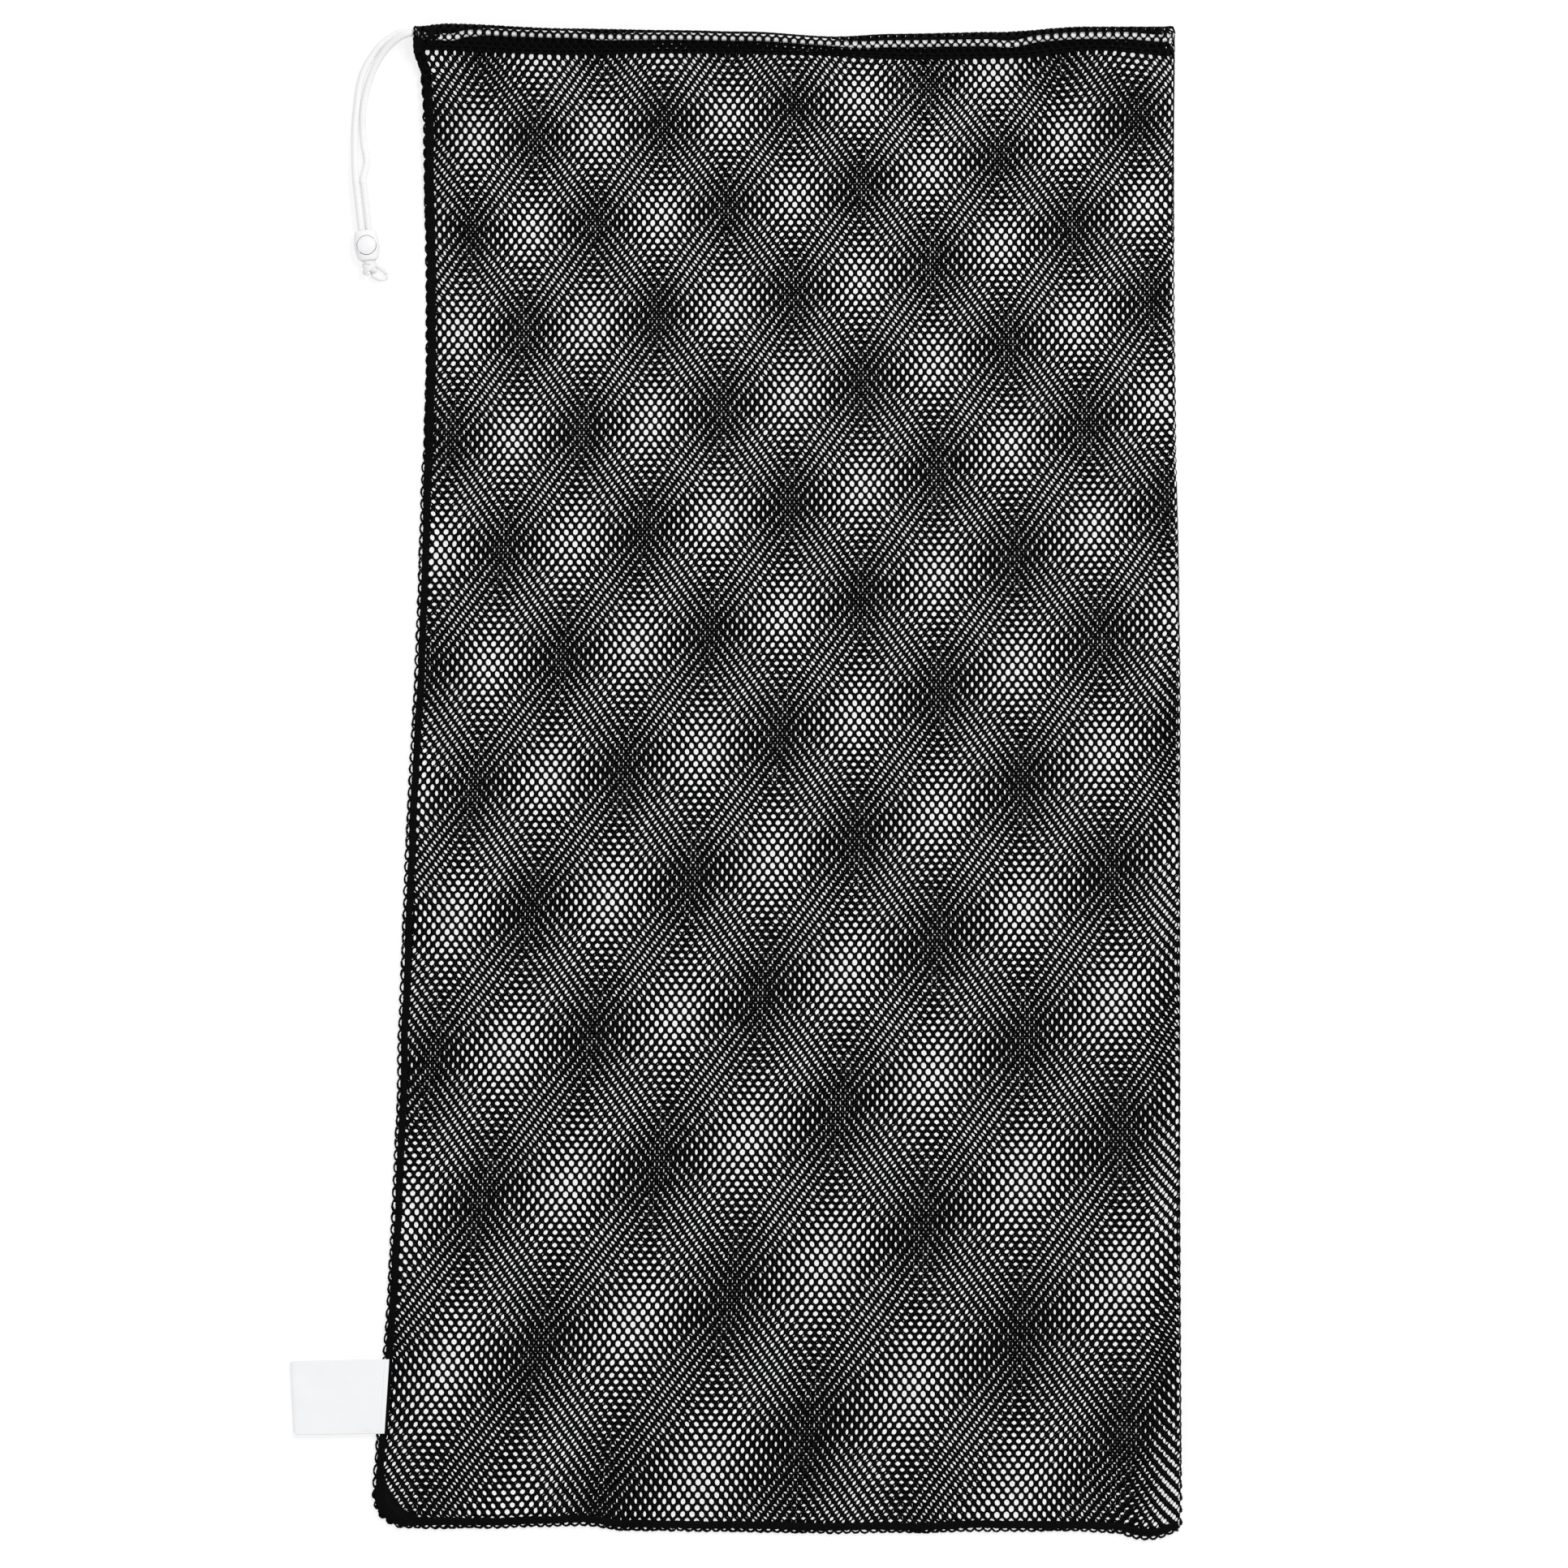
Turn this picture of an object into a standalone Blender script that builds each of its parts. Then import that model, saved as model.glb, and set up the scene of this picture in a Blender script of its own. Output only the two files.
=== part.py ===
"""Mesh laundry bag, laid flat, with its drawstring, cord lock and care label.

The bag lies in the XY plane with its mouth towards +Y, its sewn side and its cord towards -X and its
folded side towards +X. The origin is the bottom centre of the bag and its label. Units are metres.
"""
import math

import bmesh
import bpy
from mathutils import Matrix, Vector

MM = 0.001
GAP = 0.3 * MM                      # clearance between pieces that touch

# cloth outline
TOP = 456 * MM                      # top edge of the mouth
HEM_DEPTH = 17.6 * MM               # from the top edge to the hem's lower edge
HEM_LINE = TOP - HEM_DEPTH
EXIT_X = -194 * MM                  # where the cord leaves the hem
FOLD_TOP_X = 265.1 * MM             # folded side, at the mouth
FOLD_BOTTOM_X = 269 * MM            # folded side, at the bottom
SEWN_SIDE = [                       # (y, x) along the sewn side, mouth to bottom
    (456 * MM, -194 * MM), (430 * MM, -189.5 * MM), (250 * MM, -185.5 * MM), (100 * MM, -190 * MM),
    (-115 * MM, -199 * MM), (-310 * MM, -208.7 * MM), (-421 * MM, -217.5 * MM),
]
CORNER_RADIUS = 27 * MM             # bottom corner of the sewn side
CORNER_X = SEWN_SIDE[-1][1] + CORNER_RADIUS
CORNER_Y = SEWN_SIDE[-1][0]
BOTTOM_LEFT_Y = CORNER_Y - CORNER_RADIUS
BOTTOM_LOW_X = 252 * MM             # lowest point of the bottom edge
BOTTOM_LOW_Y = -456 * MM
BOTTOM_RIGHT_Y = -451.5 * MM

# cloth thickness and heights above the ground
CLOTH = 0.8 * MM
HEM_CLOTH = 1.5 * MM                # three layers sewn flat
FRONT_BAND_STEP = 0.4 * MM          # the front hem's band sits this much above the panel's underside
BACK_BAND_FLAT = 5.5 * MM           # flat part of the back hem's band, from the hem line
HEM_STITCH_UP = 2 * MM              # hem stitching, from the hem line
FRONT_STITCH_RISE = 1.4 * MM        # the front band climbs this much from the hem line to its stitching
SEAM_WIDTH = 7 * MM
SEAM_HEIGHT = 2.2 * MM
SEAM_SHOULDER = 0.8 * MM            # bevel of a seam's outer edge
STITCH_LINE = 5.6 * MM              # seam stitching, from the outer edge
BODY_HEIGHT = 6.8 * MM              # top of the front panel, away from the edges
NECK_HEIGHT = 12.4 * MM             # top of the front panel, at the hem
EDGE_SLOPE = 45 * MM                # width of the slope down to a seam
NECK_SLOPE_FROM = 310 * MM          # the front panel starts to rise to the hem here
NECK_SLOPE_TO = 435 * MM

# drawstring and its sleeve
CORD_RADIUS = 2.1 * MM
SLEEVE_BORE = CORD_RADIUS + GAP
SLEEVE_RADIUS = SLEEVE_BORE + 0.7 * MM
MOUTH_GAP = 4.8 * MM                # between the two sleeves
SLEEVE_Y = TOP - SLEEVE_RADIUS
BACK_CORD_Z = SLEEVE_RADIUS
FRONT_CORD_Z = 3 * SLEEVE_RADIUS + MOUTH_GAP
HEM_HEIGHT = 4 * SLEEVE_RADIUS + MOUTH_GAP
HEM_JOIN_ANGLE = math.radians(166)  # where the sewn band meets the round sleeve

# cord lock, in its own axes: +Y along the tails, towards the bag
LOCK_X, LOCK_Y = -222.2 * MM, 324.9 * MM
LOCK_LEAN = math.radians(6.5)
TAIL_SPACING = 4.5 * MM
TAIL_Z = 6.2 * MM
LOCK_LENGTH = 18.6 * MM
LOCK_HALF_WIDTH = 7.6 * MM
LOCK_END_HALF_WIDTH = 6.4 * MM
LOCK_HEIGHT = 11 * MM
LOCK_FLOOR = 0.8 * MM
SECTION_POWER = 2.6                 # superellipse exponent of the lock's section
BUTTON_RADIUS = 5.65 * MM
BUTTON_STROKE = 1.5 * MM
BUTTON_FOOT_Z = 2.8 * MM
BUTTON_BAR = 1.0 * MM
BUTTON_RIM_Z = 11.3 * MM
BUTTON_TOP_Z = 12.2 * MM
SPRING_WIRE = 0.2 * MM
SPRING_TURNS = 3
SPRING_RADII = (3.6 * MM, 1.6 * MM)
SPRING_HEIGHTS = (1.1 * MM, 2.5 * MM)

# knot and cord ends
KNOT_FROM = -9.9 * MM               # along the tails, from the lock's centre
KNOT_TO = -19.6 * MM
KNOT_Z = 4.4 * MM
END_RADIUS = 1.6 * MM
END_ROUTES = {
    "cord_end_upper": [(-215.8, 312.0, 3.6), (-213.0, 310.6, 3.0), (-209.9, 308.4, 2.1)],
    "cord_end_lower": [(-216.2, 306.6, 2.9), (-213.2, 305.4, 2.4), (-209.7, 304.4, 1.9)],
}

# free tails: route points in mm from the hem to where the straight guide of the lock begins
OUTER_ROUTE = [
    (-194.3, 452.9, 3.1), (-198.5, 453.6, 3.0), (-203.8, 453.0, 2.8), (-213.6, 446.3, 2.5),
    (-222.3, 434.1, 2.3), (-226.4, 422.9, 2.2), (-228.9, 404.7, 2.2), (-229.7, 390.0, 2.6),
    (-229.5, 375.5, 4.3),
]
INNER_ROUTE = [
    (-194.3, 452.9, 14.1), (-198.0, 451.9, 13.8), (-203.0, 449.4, 12.2), (-210.0, 443.6, 8.8),
    (-216.6, 434.1, 5.2), (-221.2, 422.9, 3.0), (-224.2, 409.6, 2.3), (-224.9, 397.4, 2.3),
    (-224.1, 385.6, 2.9), (-222.4, 375.5, 4.5),
]
GUIDE_STEPS = (40, 36, 24, 12, 0, -9.6)

# care label
LABEL_HINGE_X = -210.7 * MM
LABEL_Y = -369.8 * MM
LABEL_HEIGHT = 45 * MM
LABEL_LEAF = 0.35 * MM
LABEL_HINGE_Z = 3.05 * MM
LABEL_FOLD_X = -269 * MM

THREAD = 0.4 * MM
BLACK_NET = (0.012, 0.012, 0.013, 1)
BLACK_THREAD = (0.02, 0.02, 0.022, 1)
WHITE_CORD = (0.86, 0.86, 0.85, 1)
WHITE_PLASTIC = (0.88, 0.88, 0.87, 1)
WHITE_SATIN = (0.90, 0.90, 0.89, 1)
STEEL = (0.6, 0.6, 0.62, 1)


def clear_scene():
    for thing in list(bpy.data.objects):
        bpy.data.objects.remove(thing)


def material(name, colour, roughness, metallic=0.0):
    made = bpy.data.materials.new(name)
    made.use_nodes = True
    shader = made.node_tree.nodes["Principled BSDF"]
    shader.inputs["Base Color"].default_value = colour
    shader.inputs["Roughness"].default_value = roughness
    shader.inputs["Metallic"].default_value = metallic
    made.diffuse_color = colour
    return made


def place(name, data, colour, roughness, metallic=0.0):
    thing = bpy.data.objects.new(name, data)
    bpy.context.scene.collection.objects.link(thing)
    data.materials.append(material(name, colour, roughness, metallic))
    return thing


def smooth_step(value):
    t = min(max(value, 0.0), 1.0)
    return t * t * (3 - 2 * t)


def blend(a, b, t):
    return a + (b - a) * t


# ---- curves through hand-placed points -------------------------------------------------------------

def curve_point(points, i, t):
    """A point between points[i] and points[i + 1] on a Catmull-Rom curve."""
    before = points[i - 1] if i else points[0] * 2 - points[1]
    after = points[i + 2] if i + 2 < len(points) else points[-1] * 2 - points[-2]
    a, b = points[i], points[i + 1]
    return 0.5 * (2 * a + (b - before) * t + (2 * before - 5 * a + 4 * b - after) * t ** 2
                  + (3 * a - before - 3 * b + after) * t ** 3)


def smooth_route(points, steps):
    made = []
    for i in range(len(points) - 1):
        made += [curve_point(points, i, k / steps) for k in range(steps)]
    return made + [points[-1]]


def sewn_side_x(y):
    """The sewn side's edge at a height y, round its bottom corner too."""
    if y < CORNER_Y:
        reach = max(CORNER_RADIUS ** 2 - (y - CORNER_Y) ** 2, 0.0)
        return CORNER_X - math.sqrt(reach)
    points = [Vector(p) for p in SEWN_SIDE]
    i = max(k for k in range(len(points) - 1) if y <= points[k].x or k == 0)
    t = (points[i].x - y) / (points[i].x - points[i + 1].x)
    return curve_point(points, i, t).y


def fold_x(y):
    return blend(FOLD_BOTTOM_X, FOLD_TOP_X, (y - BOTTOM_LOW_Y) / (TOP - BOTTOM_LOW_Y))


def bottom_y(x):
    if x > BOTTOM_LOW_X:
        return blend(BOTTOM_LOW_Y, BOTTOM_RIGHT_Y, (x - BOTTOM_LOW_X) / (FOLD_BOTTOM_X - BOTTOM_LOW_X))
    return blend(BOTTOM_LEFT_Y, BOTTOM_LOW_Y, max(x - CORNER_X, 0) / (BOTTOM_LOW_X - CORNER_X))


def neck_rise(y):
    return smooth_step((y - NECK_SLOPE_FROM) / (NECK_SLOPE_TO - NECK_SLOPE_FROM))


def seam_top(y):
    return SEAM_HEIGHT + (NECK_HEIGHT - SEAM_HEIGHT) * neck_rise(y)


def cloth_top(y):
    """Top of the front panel away from the sewn side."""
    up = smooth_step((y - BOTTOM_LOW_Y - SEAM_WIDTH) / EDGE_SLOPE)
    return SEAM_HEIGHT + (BODY_HEIGHT - SEAM_HEIGHT) * up + (NECK_HEIGHT - BODY_HEIGHT) * neck_rise(y)


def fold_height(y):
    """Outer height of the folded edge, which also holds the hem's two sleeves."""
    at_hem = smooth_step((y - HEM_LINE) / (HEM_DEPTH - 2 * SLEEVE_RADIUS))
    return blend(cloth_top(y), HEM_HEIGHT, at_hem)


# ---- solids ----------------------------------------------------------------------------------------

def loft(name, loops, colour, roughness, smooth=False):
    """A closed solid through equal loops of points, capped at both ends."""
    count = len(loops[0])
    points = [p for loop in loops for p in loop]
    faces = [tuple(reversed(range(count))), tuple(range(len(points) - count, len(points)))]
    for row in range(len(loops) - 1):
        for k in range(count):
            a, b = row * count + k, row * count + (k + 1) % count
            faces.append((a, b, b + count, a + count))
    mesh = bpy.data.meshes.new(name)
    mesh.from_pydata(points, [], faces)
    shell = bmesh.new()
    shell.from_mesh(mesh)
    bmesh.ops.recalc_face_normals(shell, faces=shell.faces)
    shell.to_mesh(mesh)
    shell.free()
    if smooth:
        mesh.shade_smooth()
        mesh.set_sharp_from_angle(angle=math.radians(40))
    return place(name, mesh, colour, roughness)


def tube(name, points, radius, colour, roughness, resolution=2):
    curve = bpy.data.curves.new(name, "CURVE")
    curve.dimensions = "3D"
    curve.bevel_depth = radius
    curve.bevel_resolution = resolution
    curve.use_fill_caps = True
    line = curve.splines.new("POLY")
    line.points.add(len(points) - 1)
    for slot, point in zip(line.points, points):
        slot.co = (*point, 1)
    return place(name, curve, colour, roughness)


def cut(target, cutter):
    cutter.hide_render = True
    cutter.display_type = "WIRE"
    step = target.modifiers.new(cutter.name, "BOOLEAN")
    step.operation = "DIFFERENCE"
    step.object = cutter


def circle(radius, sides, centre=(0, 0), start=0.0):
    """Points of a circle as (first, second) pairs."""
    turn = 2 * math.pi / sides
    return [(centre[0] + radius * math.cos(start + turn * k),
             centre[1] + radius * math.sin(start + turn * k)) for k in range(sides)]


# ---- cloth -----------------------------------------------------------------------------------------

def panel_point(across, along):
    """A panel point in plan: across runs from sewn side to fold, along from bottom to hem, both 0 to 1."""
    inset = SEAM_WIDTH + GAP
    top_y = HEM_LINE - GAP
    row_y = blend(BOTTOM_LEFT_Y + inset, top_y, along)
    if row_y < CORNER_Y:
        reach = max((CORNER_RADIUS - inset) ** 2 - (row_y - CORNER_Y) ** 2, 0.0)
        left = CORNER_X - math.sqrt(reach)
    else:
        left = sewn_side_x(row_y) + inset
    right = fold_x(row_y) - fold_height(row_y) / 2 - GAP
    x = blend(left, right, across)
    y = blend(bottom_y(x) + inset, top_y, along)
    return x, y, left


def sheet_solid(name, heights, columns, rows):
    """A thin closed sheet; heights(x, y, left) gives its upper face."""
    across = [k / columns for k in range(columns + 1)]
    along = [k / rows for k in range(rows + 1)]
    loops = []
    for v in along:
        spots = [panel_point(u, v) for u in across]
        upper = [(x, y, heights(x, y, left)) for x, y, left in spots]
        lower = [(x, y, z - CLOTH) for x, y, z in reversed(upper)]
        loops.append(lower + upper)
    return loft(name, loops, BLACK_NET, 0.75)


def make_back_panel():
    return sheet_solid("back_mesh_panel", lambda x, y, left: CLOTH, 1, 40)


def make_front_panel():
    def height(x, y, left):
        return blend(seam_top(y), cloth_top(y), smooth_step((x - left) / EDGE_SLOPE))
    return sheet_solid("front_mesh_panel", height, 14, 40)


def make_fold():
    """The folded side of the cloth: a half-round strip that joins the two panels."""
    start = bottom_y(fold_x(BOTTOM_RIGHT_Y)) + SEAM_WIDTH + GAP
    arc = [math.radians(90 - 180 * k / 10) for k in range(11)]
    loops = []
    for step in range(49):
        t = 1 - (1 - step / 48) ** 1.6
        y = blend(start, TOP, t)
        outer = fold_height(y) / 2
        inner = outer - CLOTH
        centre = fold_x(y) - outer
        loop = [(centre + outer * math.cos(a), y, outer + outer * math.sin(a)) for a in arc]
        loop += [(centre + inner * math.cos(a), y, outer + inner * math.sin(a)) for a in reversed(arc)]
        loops.append(loop)
    return loft("side_fold", loops, BLACK_NET, 0.75)


def make_hem(name, cord_z, band):
    """One side of the hem: a round sleeve for the cord, with the sewn band below it."""
    steps = 24
    arc = [blend(-HEM_JOIN_ANGLE, HEM_JOIN_ANGLE, k / steps) for k in range(steps + 1)]
    section = [(SLEEVE_Y + SLEEVE_RADIUS * math.cos(a), cord_z + SLEEVE_RADIUS * math.sin(a)) for a in arc]
    section += band
    right = fold_x(SLEEVE_Y) - HEM_HEIGHT / 2 - GAP
    hem = loft(name, [[(x, y, z) for y, z in section] for x in (EXIT_X, right)], BLACK_NET, 0.75)
    bore = circle(SLEEVE_BORE, 24, (SLEEVE_Y, cord_z))
    ends = (EXIT_X - 0.01, right + 0.01)
    cut(hem, loft(name + "_bore", [[(x, y, z) for y, z in bore] for x in ends], BLACK_NET, 0.75))
    return hem


def make_hems():
    front_low = NECK_HEIGHT - HEM_CLOTH + FRONT_BAND_STEP
    make_hem("front_hem", FRONT_CORD_Z, [(HEM_LINE, front_low + HEM_CLOTH), (HEM_LINE, front_low)])
    flat_from = HEM_LINE + BACK_BAND_FLAT
    make_hem("back_hem", BACK_CORD_Z,
             [(flat_from, HEM_CLOTH), (HEM_LINE, HEM_CLOTH), (HEM_LINE, 0), (flat_from, 0)])


def edge_line():
    """Plan points of the sewn side, with the inward direction at each, from the hem round to the bottom."""
    made = []
    for k in range(33):
        y = blend(HEM_LINE - GAP, CORNER_Y, k / 32)
        made.append((Vector((sewn_side_x(y), y)), Vector((1, 0))))
    for k in range(1, 9):
        angle = math.radians(180 + 90 * k / 8)
        out = Vector((math.cos(angle), math.sin(angle)))
        made.append((Vector((CORNER_X, CORNER_Y)) + CORNER_RADIUS * out, -out))
    return made


def seam_loop(edge, inward, top):
    """The rounded section of a seam: four plan lines, at the outer edge first."""
    shoulder = min(SEAM_SHOULDER, top / 2)
    section = [(0, shoulder), (shoulder, 0), (SEAM_WIDTH, 0),
               (SEAM_WIDTH, top), (shoulder, top), (0, top - shoulder)]
    return [(*(edge + inward * d), z) for d, z in section]


def make_side_seam():
    loops = [seam_loop(edge, inward, seam_top(edge.y)) for edge, inward in edge_line()]
    loft("side_seam", loops, BLACK_NET, 0.8)
    line = [(*(edge + inward * STITCH_LINE), seam_top(edge.y) + GAP + THREAD)
            for edge, inward in edge_line()]
    tube("side_seam_stitching", line, THREAD, BLACK_THREAD, 0.6, 1)


def make_bottom_seam():
    right = fold_x(BOTTOM_LOW_Y) - 0.5 * MM
    stops = [blend(CORNER_X + GAP, BOTTOM_LOW_X, k / 12) for k in range(13)]
    stops += [blend(BOTTOM_LOW_X, right, k / 3) for k in range(1, 4)]
    up = Vector((0, 1))
    loft("bottom_seam", [seam_loop(Vector((x, bottom_y(x))), up, SEAM_HEIGHT) for x in stops], BLACK_NET, 0.8)
    line = [(x, bottom_y(x) + STITCH_LINE, SEAM_HEIGHT + GAP + THREAD) for x in stops]
    tube("bottom_seam_stitching", line, THREAD, BLACK_THREAD, 0.6, 1)


def make_hem_stitching():
    y = HEM_LINE + HEM_STITCH_UP
    front_z = NECK_HEIGHT + FRONT_STITCH_RISE
    back_z = HEM_CLOTH + GAP + THREAD
    right = fold_x(y) - HEM_HEIGHT / 2 - GAP
    for name, z in (("front_hem_stitching", front_z), ("back_hem_stitching", back_z)):
        line = [(blend(EXIT_X + HEM_STITCH_UP, right, k / 4), y, z) for k in range(5)]
        tube(name, line, THREAD, BLACK_THREAD, 0.6, 1)


# ---- drawstring ------------------------------------------------------------------------------------

def make_cord_runs():
    """The two runs in the sleeves; the back one holds the turn at the folded side."""
    start = EXIT_X + GAP
    turn_x = fold_x(SLEEVE_Y) - HEM_HEIGHT / 2
    front = [(blend(start, turn_x - GAP, k / 20), SLEEVE_Y, FRONT_CORD_Z) for k in range(21)]
    tube("drawstring_front_run", front, CORD_RADIUS, WHITE_CORD, 0.8)
    radius = (FRONT_CORD_Z - BACK_CORD_Z) / 2
    arc = [math.radians(90 - 180 * k / 12) for k in range(13)]
    turn = [(turn_x + radius * math.cos(a), SLEEVE_Y, BACK_CORD_Z + radius * (1 + math.sin(a)))
            for a in arc]
    back = [(blend(turn_x, start, k / 20), SLEEVE_Y, BACK_CORD_Z) for k in range(1, 21)]
    tube("drawstring_back_run", turn + back, CORD_RADIUS, WHITE_CORD, 0.8)


def lock_frame():
    """From the lock's own axes to the bag's: its centre is on the ground below the tails."""
    return Matrix.Translation((LOCK_X, LOCK_Y, 0)) @ Matrix.Rotation(LOCK_LEAN, 4, "Z")


def make_tails():
    frame = lock_frame()
    routes = (("drawstring_tail_outer", OUTER_ROUTE, -1), ("drawstring_tail_inner", INNER_ROUTE, 1))
    for name, route, side in routes:
        free = [Vector(p) * MM for p in route]
        guide = [frame @ Vector((side * TAIL_SPACING / 2, step * MM, TAIL_Z)) for step in GUIDE_STEPS]
        tube(name, smooth_route(free + guide, 4), CORD_RADIUS, WHITE_CORD, 0.8)


def oval_loop(half_width, half_height, y, centre_z, power=2.0, sides=28):
    loop = []
    for k in range(sides):
        c, s = math.cos(2 * math.pi * k / sides), math.sin(2 * math.pi * k / sides)
        x = half_width * math.copysign(abs(c) ** (2 / power), c)
        z = half_height * math.copysign(abs(s) ** (2 / power), s)
        loop.append((x, y, centre_z + z))
    return loop


def make_knot():
    """The knot's outer shape: two soft lumps with a waist where a strand wraps round."""
    shape = [(0, 2.9), (0.06, 3.7), (0.2, 4.35), (0.34, 4.4), (0.47, 3.9),
             (0.56, 3.85), (0.7, 4.2), (0.86, 3.7), (0.96, 2.6), (1, 1.8)]
    loops = []
    for t, radius in shape:
        y = blend(KNOT_FROM, KNOT_TO, t)
        loops.append(oval_loop(radius * MM, radius * MM, y, KNOT_Z, sides=20))
    knot = loft("drawstring_knot", loops, WHITE_CORD, 0.85, smooth=True)
    knot.matrix_world = lock_frame()
    for name, route in END_ROUTES.items():
        points = smooth_route([Vector(p) * MM for p in route], 4)
        tube(name, points, END_RADIUS, WHITE_CORD, 0.9)


# ---- cord lock -------------------------------------------------------------------------------------

def tail_slot(name, bottom, top, reach):
    """A cutter along the tails, round at both sides, between two heights."""
    radius = CORD_RADIUS + GAP
    right = [math.radians(-90 + 180 * k / 8) for k in range(9)]
    edge = TAIL_SPACING / 2
    high, low = top - radius, bottom + radius
    section = [(edge + radius * math.cos(a), (low if a < 0 else high) + radius * math.sin(a))
               for a in right]
    section += [(-x, z) for x, z in reversed(section)]
    return loft(name, [[(x, y, z) for x, z in section] for y in (reach, -reach)], WHITE_PLASTIC, 0.4)


def make_lock_body():
    half = LOCK_LENGTH / 2
    middle = LOCK_HEIGHT / 2
    rounding = 0.6 * MM
    stations = [-1, -0.93, -0.75, -0.5, -0.25, 0, 0.25, 0.5, 0.75, 0.93, 1]
    loops = []
    for s in stations:
        width = blend(LOCK_HALF_WIDTH, LOCK_END_HALF_WIDTH, s * s)
        height = width * middle / LOCK_HALF_WIDTH
        if abs(s) == 1:
            width, height = width - rounding, height - rounding
        loops.append(oval_loop(width, height, s * half, middle, SECTION_POWER))
    body = loft("cord_lock_body", loops, WHITE_PLASTIC, 0.35, smooth=True)
    bore = circle(BUTTON_RADIUS + GAP, 32)
    depths = (LOCK_FLOOR, 2 * LOCK_HEIGHT)
    well = loft("lock_well", [[(x, y, z) for x, y in bore] for z in depths], WHITE_PLASTIC, 0.4)
    slot = tail_slot("lock_slot", TAIL_Z - CORD_RADIUS - GAP, TAIL_Z + CORD_RADIUS + GAP, LOCK_LENGTH)
    cut(body, well)
    cut(body, slot)
    for thing in (body, well, slot):
        thing.matrix_world = lock_frame()


def make_lock_button():
    """The plunger: the tails pass through its window, and its foot lifts them against the body."""
    profile = [(BUTTON_RADIUS, BUTTON_FOOT_Z), (BUTTON_RADIUS, BUTTON_RIM_Z - 0.4 * MM),
               (BUTTON_RADIUS - 0.4 * MM, BUTTON_RIM_Z), (0.72 * BUTTON_RADIUS, BUTTON_RIM_Z + 0.45 * MM),
               (0.36 * BUTTON_RADIUS, BUTTON_TOP_Z)]
    loops = [[(x, y, z) for x, y in circle(radius, 32)] for radius, z in profile]
    button = loft("cord_lock_button", loops, WHITE_PLASTIC, 0.35, smooth=True)
    window = tail_slot("button_window", BUTTON_FOOT_Z + BUTTON_BAR,
                       TAIL_Z + CORD_RADIUS + GAP + BUTTON_STROKE, LOCK_LENGTH)
    cut(button, window)
    button.matrix_world = lock_frame()
    window.matrix_world = lock_frame()


def make_lock_spring():
    """A conical spring, which closes almost flat under the button."""
    per_turn = 14
    count = SPRING_TURNS * per_turn
    points = []
    for k in range(count + 1):
        t = k / count
        angle = 2 * math.pi * SPRING_TURNS * t
        radius = blend(*SPRING_RADII, t)
        points.append((radius * math.cos(angle), radius * math.sin(angle), blend(*SPRING_HEIGHTS, t)))
    spring = tube("cord_lock_spring", points, SPRING_WIRE, STEEL, 0.3, 1)
    spring.matrix_world = lock_frame()


# ---- care label ------------------------------------------------------------------------------------

def label_section():
    """(x, z) of the folded loop, from its sewn end along the upper leaf, round the fold and back."""
    fold_radius = 1.4 * MM
    fold_centre = (LABEL_FOLD_X + fold_radius, 1.75 * MM)
    sewn = LABEL_HINGE_X
    top = [(sewn, LABEL_HINGE_Z + 0.4 * MM), (sewn - 6 * MM, LABEL_HINGE_Z + 0.4 * MM),
           (sewn - 16 * MM, 3.3 * MM)]
    arc = [math.radians(90 + 180 * k / 8) for k in range(9)]
    outer = [(fold_centre[0] + fold_radius * math.cos(a), fold_centre[1] + fold_radius * math.sin(a))
             for a in arc]
    under = [(sewn - 12 * MM, 0.6 * MM), (sewn - 5 * MM, LABEL_HINGE_Z - 0.4 * MM),
             (sewn, LABEL_HINGE_Z - 0.4 * MM)]
    inner_radius = fold_radius - LABEL_LEAF
    inner = [(fold_centre[0] + inner_radius * math.cos(a), fold_centre[1] + inner_radius * math.sin(a))
             for a in arc]
    joined = (sewn - 4.5 * MM, LABEL_HINGE_Z)
    hollow = [joined, (sewn - 12 * MM, 1.1 * MM)] + list(reversed(inner)) + [(sewn - 16 * MM, 2.9 * MM)]
    return top + outer + under, hollow


def make_label():
    outline, hollow = label_section()
    half = LABEL_HEIGHT / 2
    hinge = Vector((LABEL_HINGE_X, LABEL_Y, LABEL_HINGE_Z))

    def loop(points, y):
        return [(x - hinge.x, y, z - hinge.z) for x, z in points]

    label = loft("care_label", [loop(outline, -half), loop(outline, half)], WHITE_SATIN, 0.55)
    inside = loft("label_hollow", [loop(hollow, -half * 2), loop(hollow, half * 2)], WHITE_SATIN, 0.55)
    cut(label, inside)
    for thing in (label, inside):
        thing.location = hinge
    stitch_x = LABEL_HINGE_X - 2.2 * MM
    stitch_z = LABEL_HINGE_Z + 0.4 * MM + GAP + THREAD / 2
    ends = (LABEL_Y - half + 1.5 * MM, LABEL_Y + half - 1.5 * MM)
    line = [(stitch_x, blend(*ends, k / 6), stitch_z) for k in range(7)]
    tube("label_stitching", line, THREAD / 2, WHITE_SATIN, 0.6, 1)


def main():
    clear_scene()
    make_back_panel()
    make_front_panel()
    make_fold()
    make_hems()
    make_side_seam()
    make_bottom_seam()
    make_hem_stitching()
    make_cord_runs()
    make_tails()
    make_knot()
    make_lock_body()
    make_lock_button()
    make_lock_spring()
    make_label()


main()
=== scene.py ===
"""The looks of the mesh laundry bag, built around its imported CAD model.

The bag lies flat with its mouth towards +Y, its sewn side towards -X and its folded side towards +X.
Lengths are in metres; MM turns millimetres into them.
"""
import math

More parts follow.
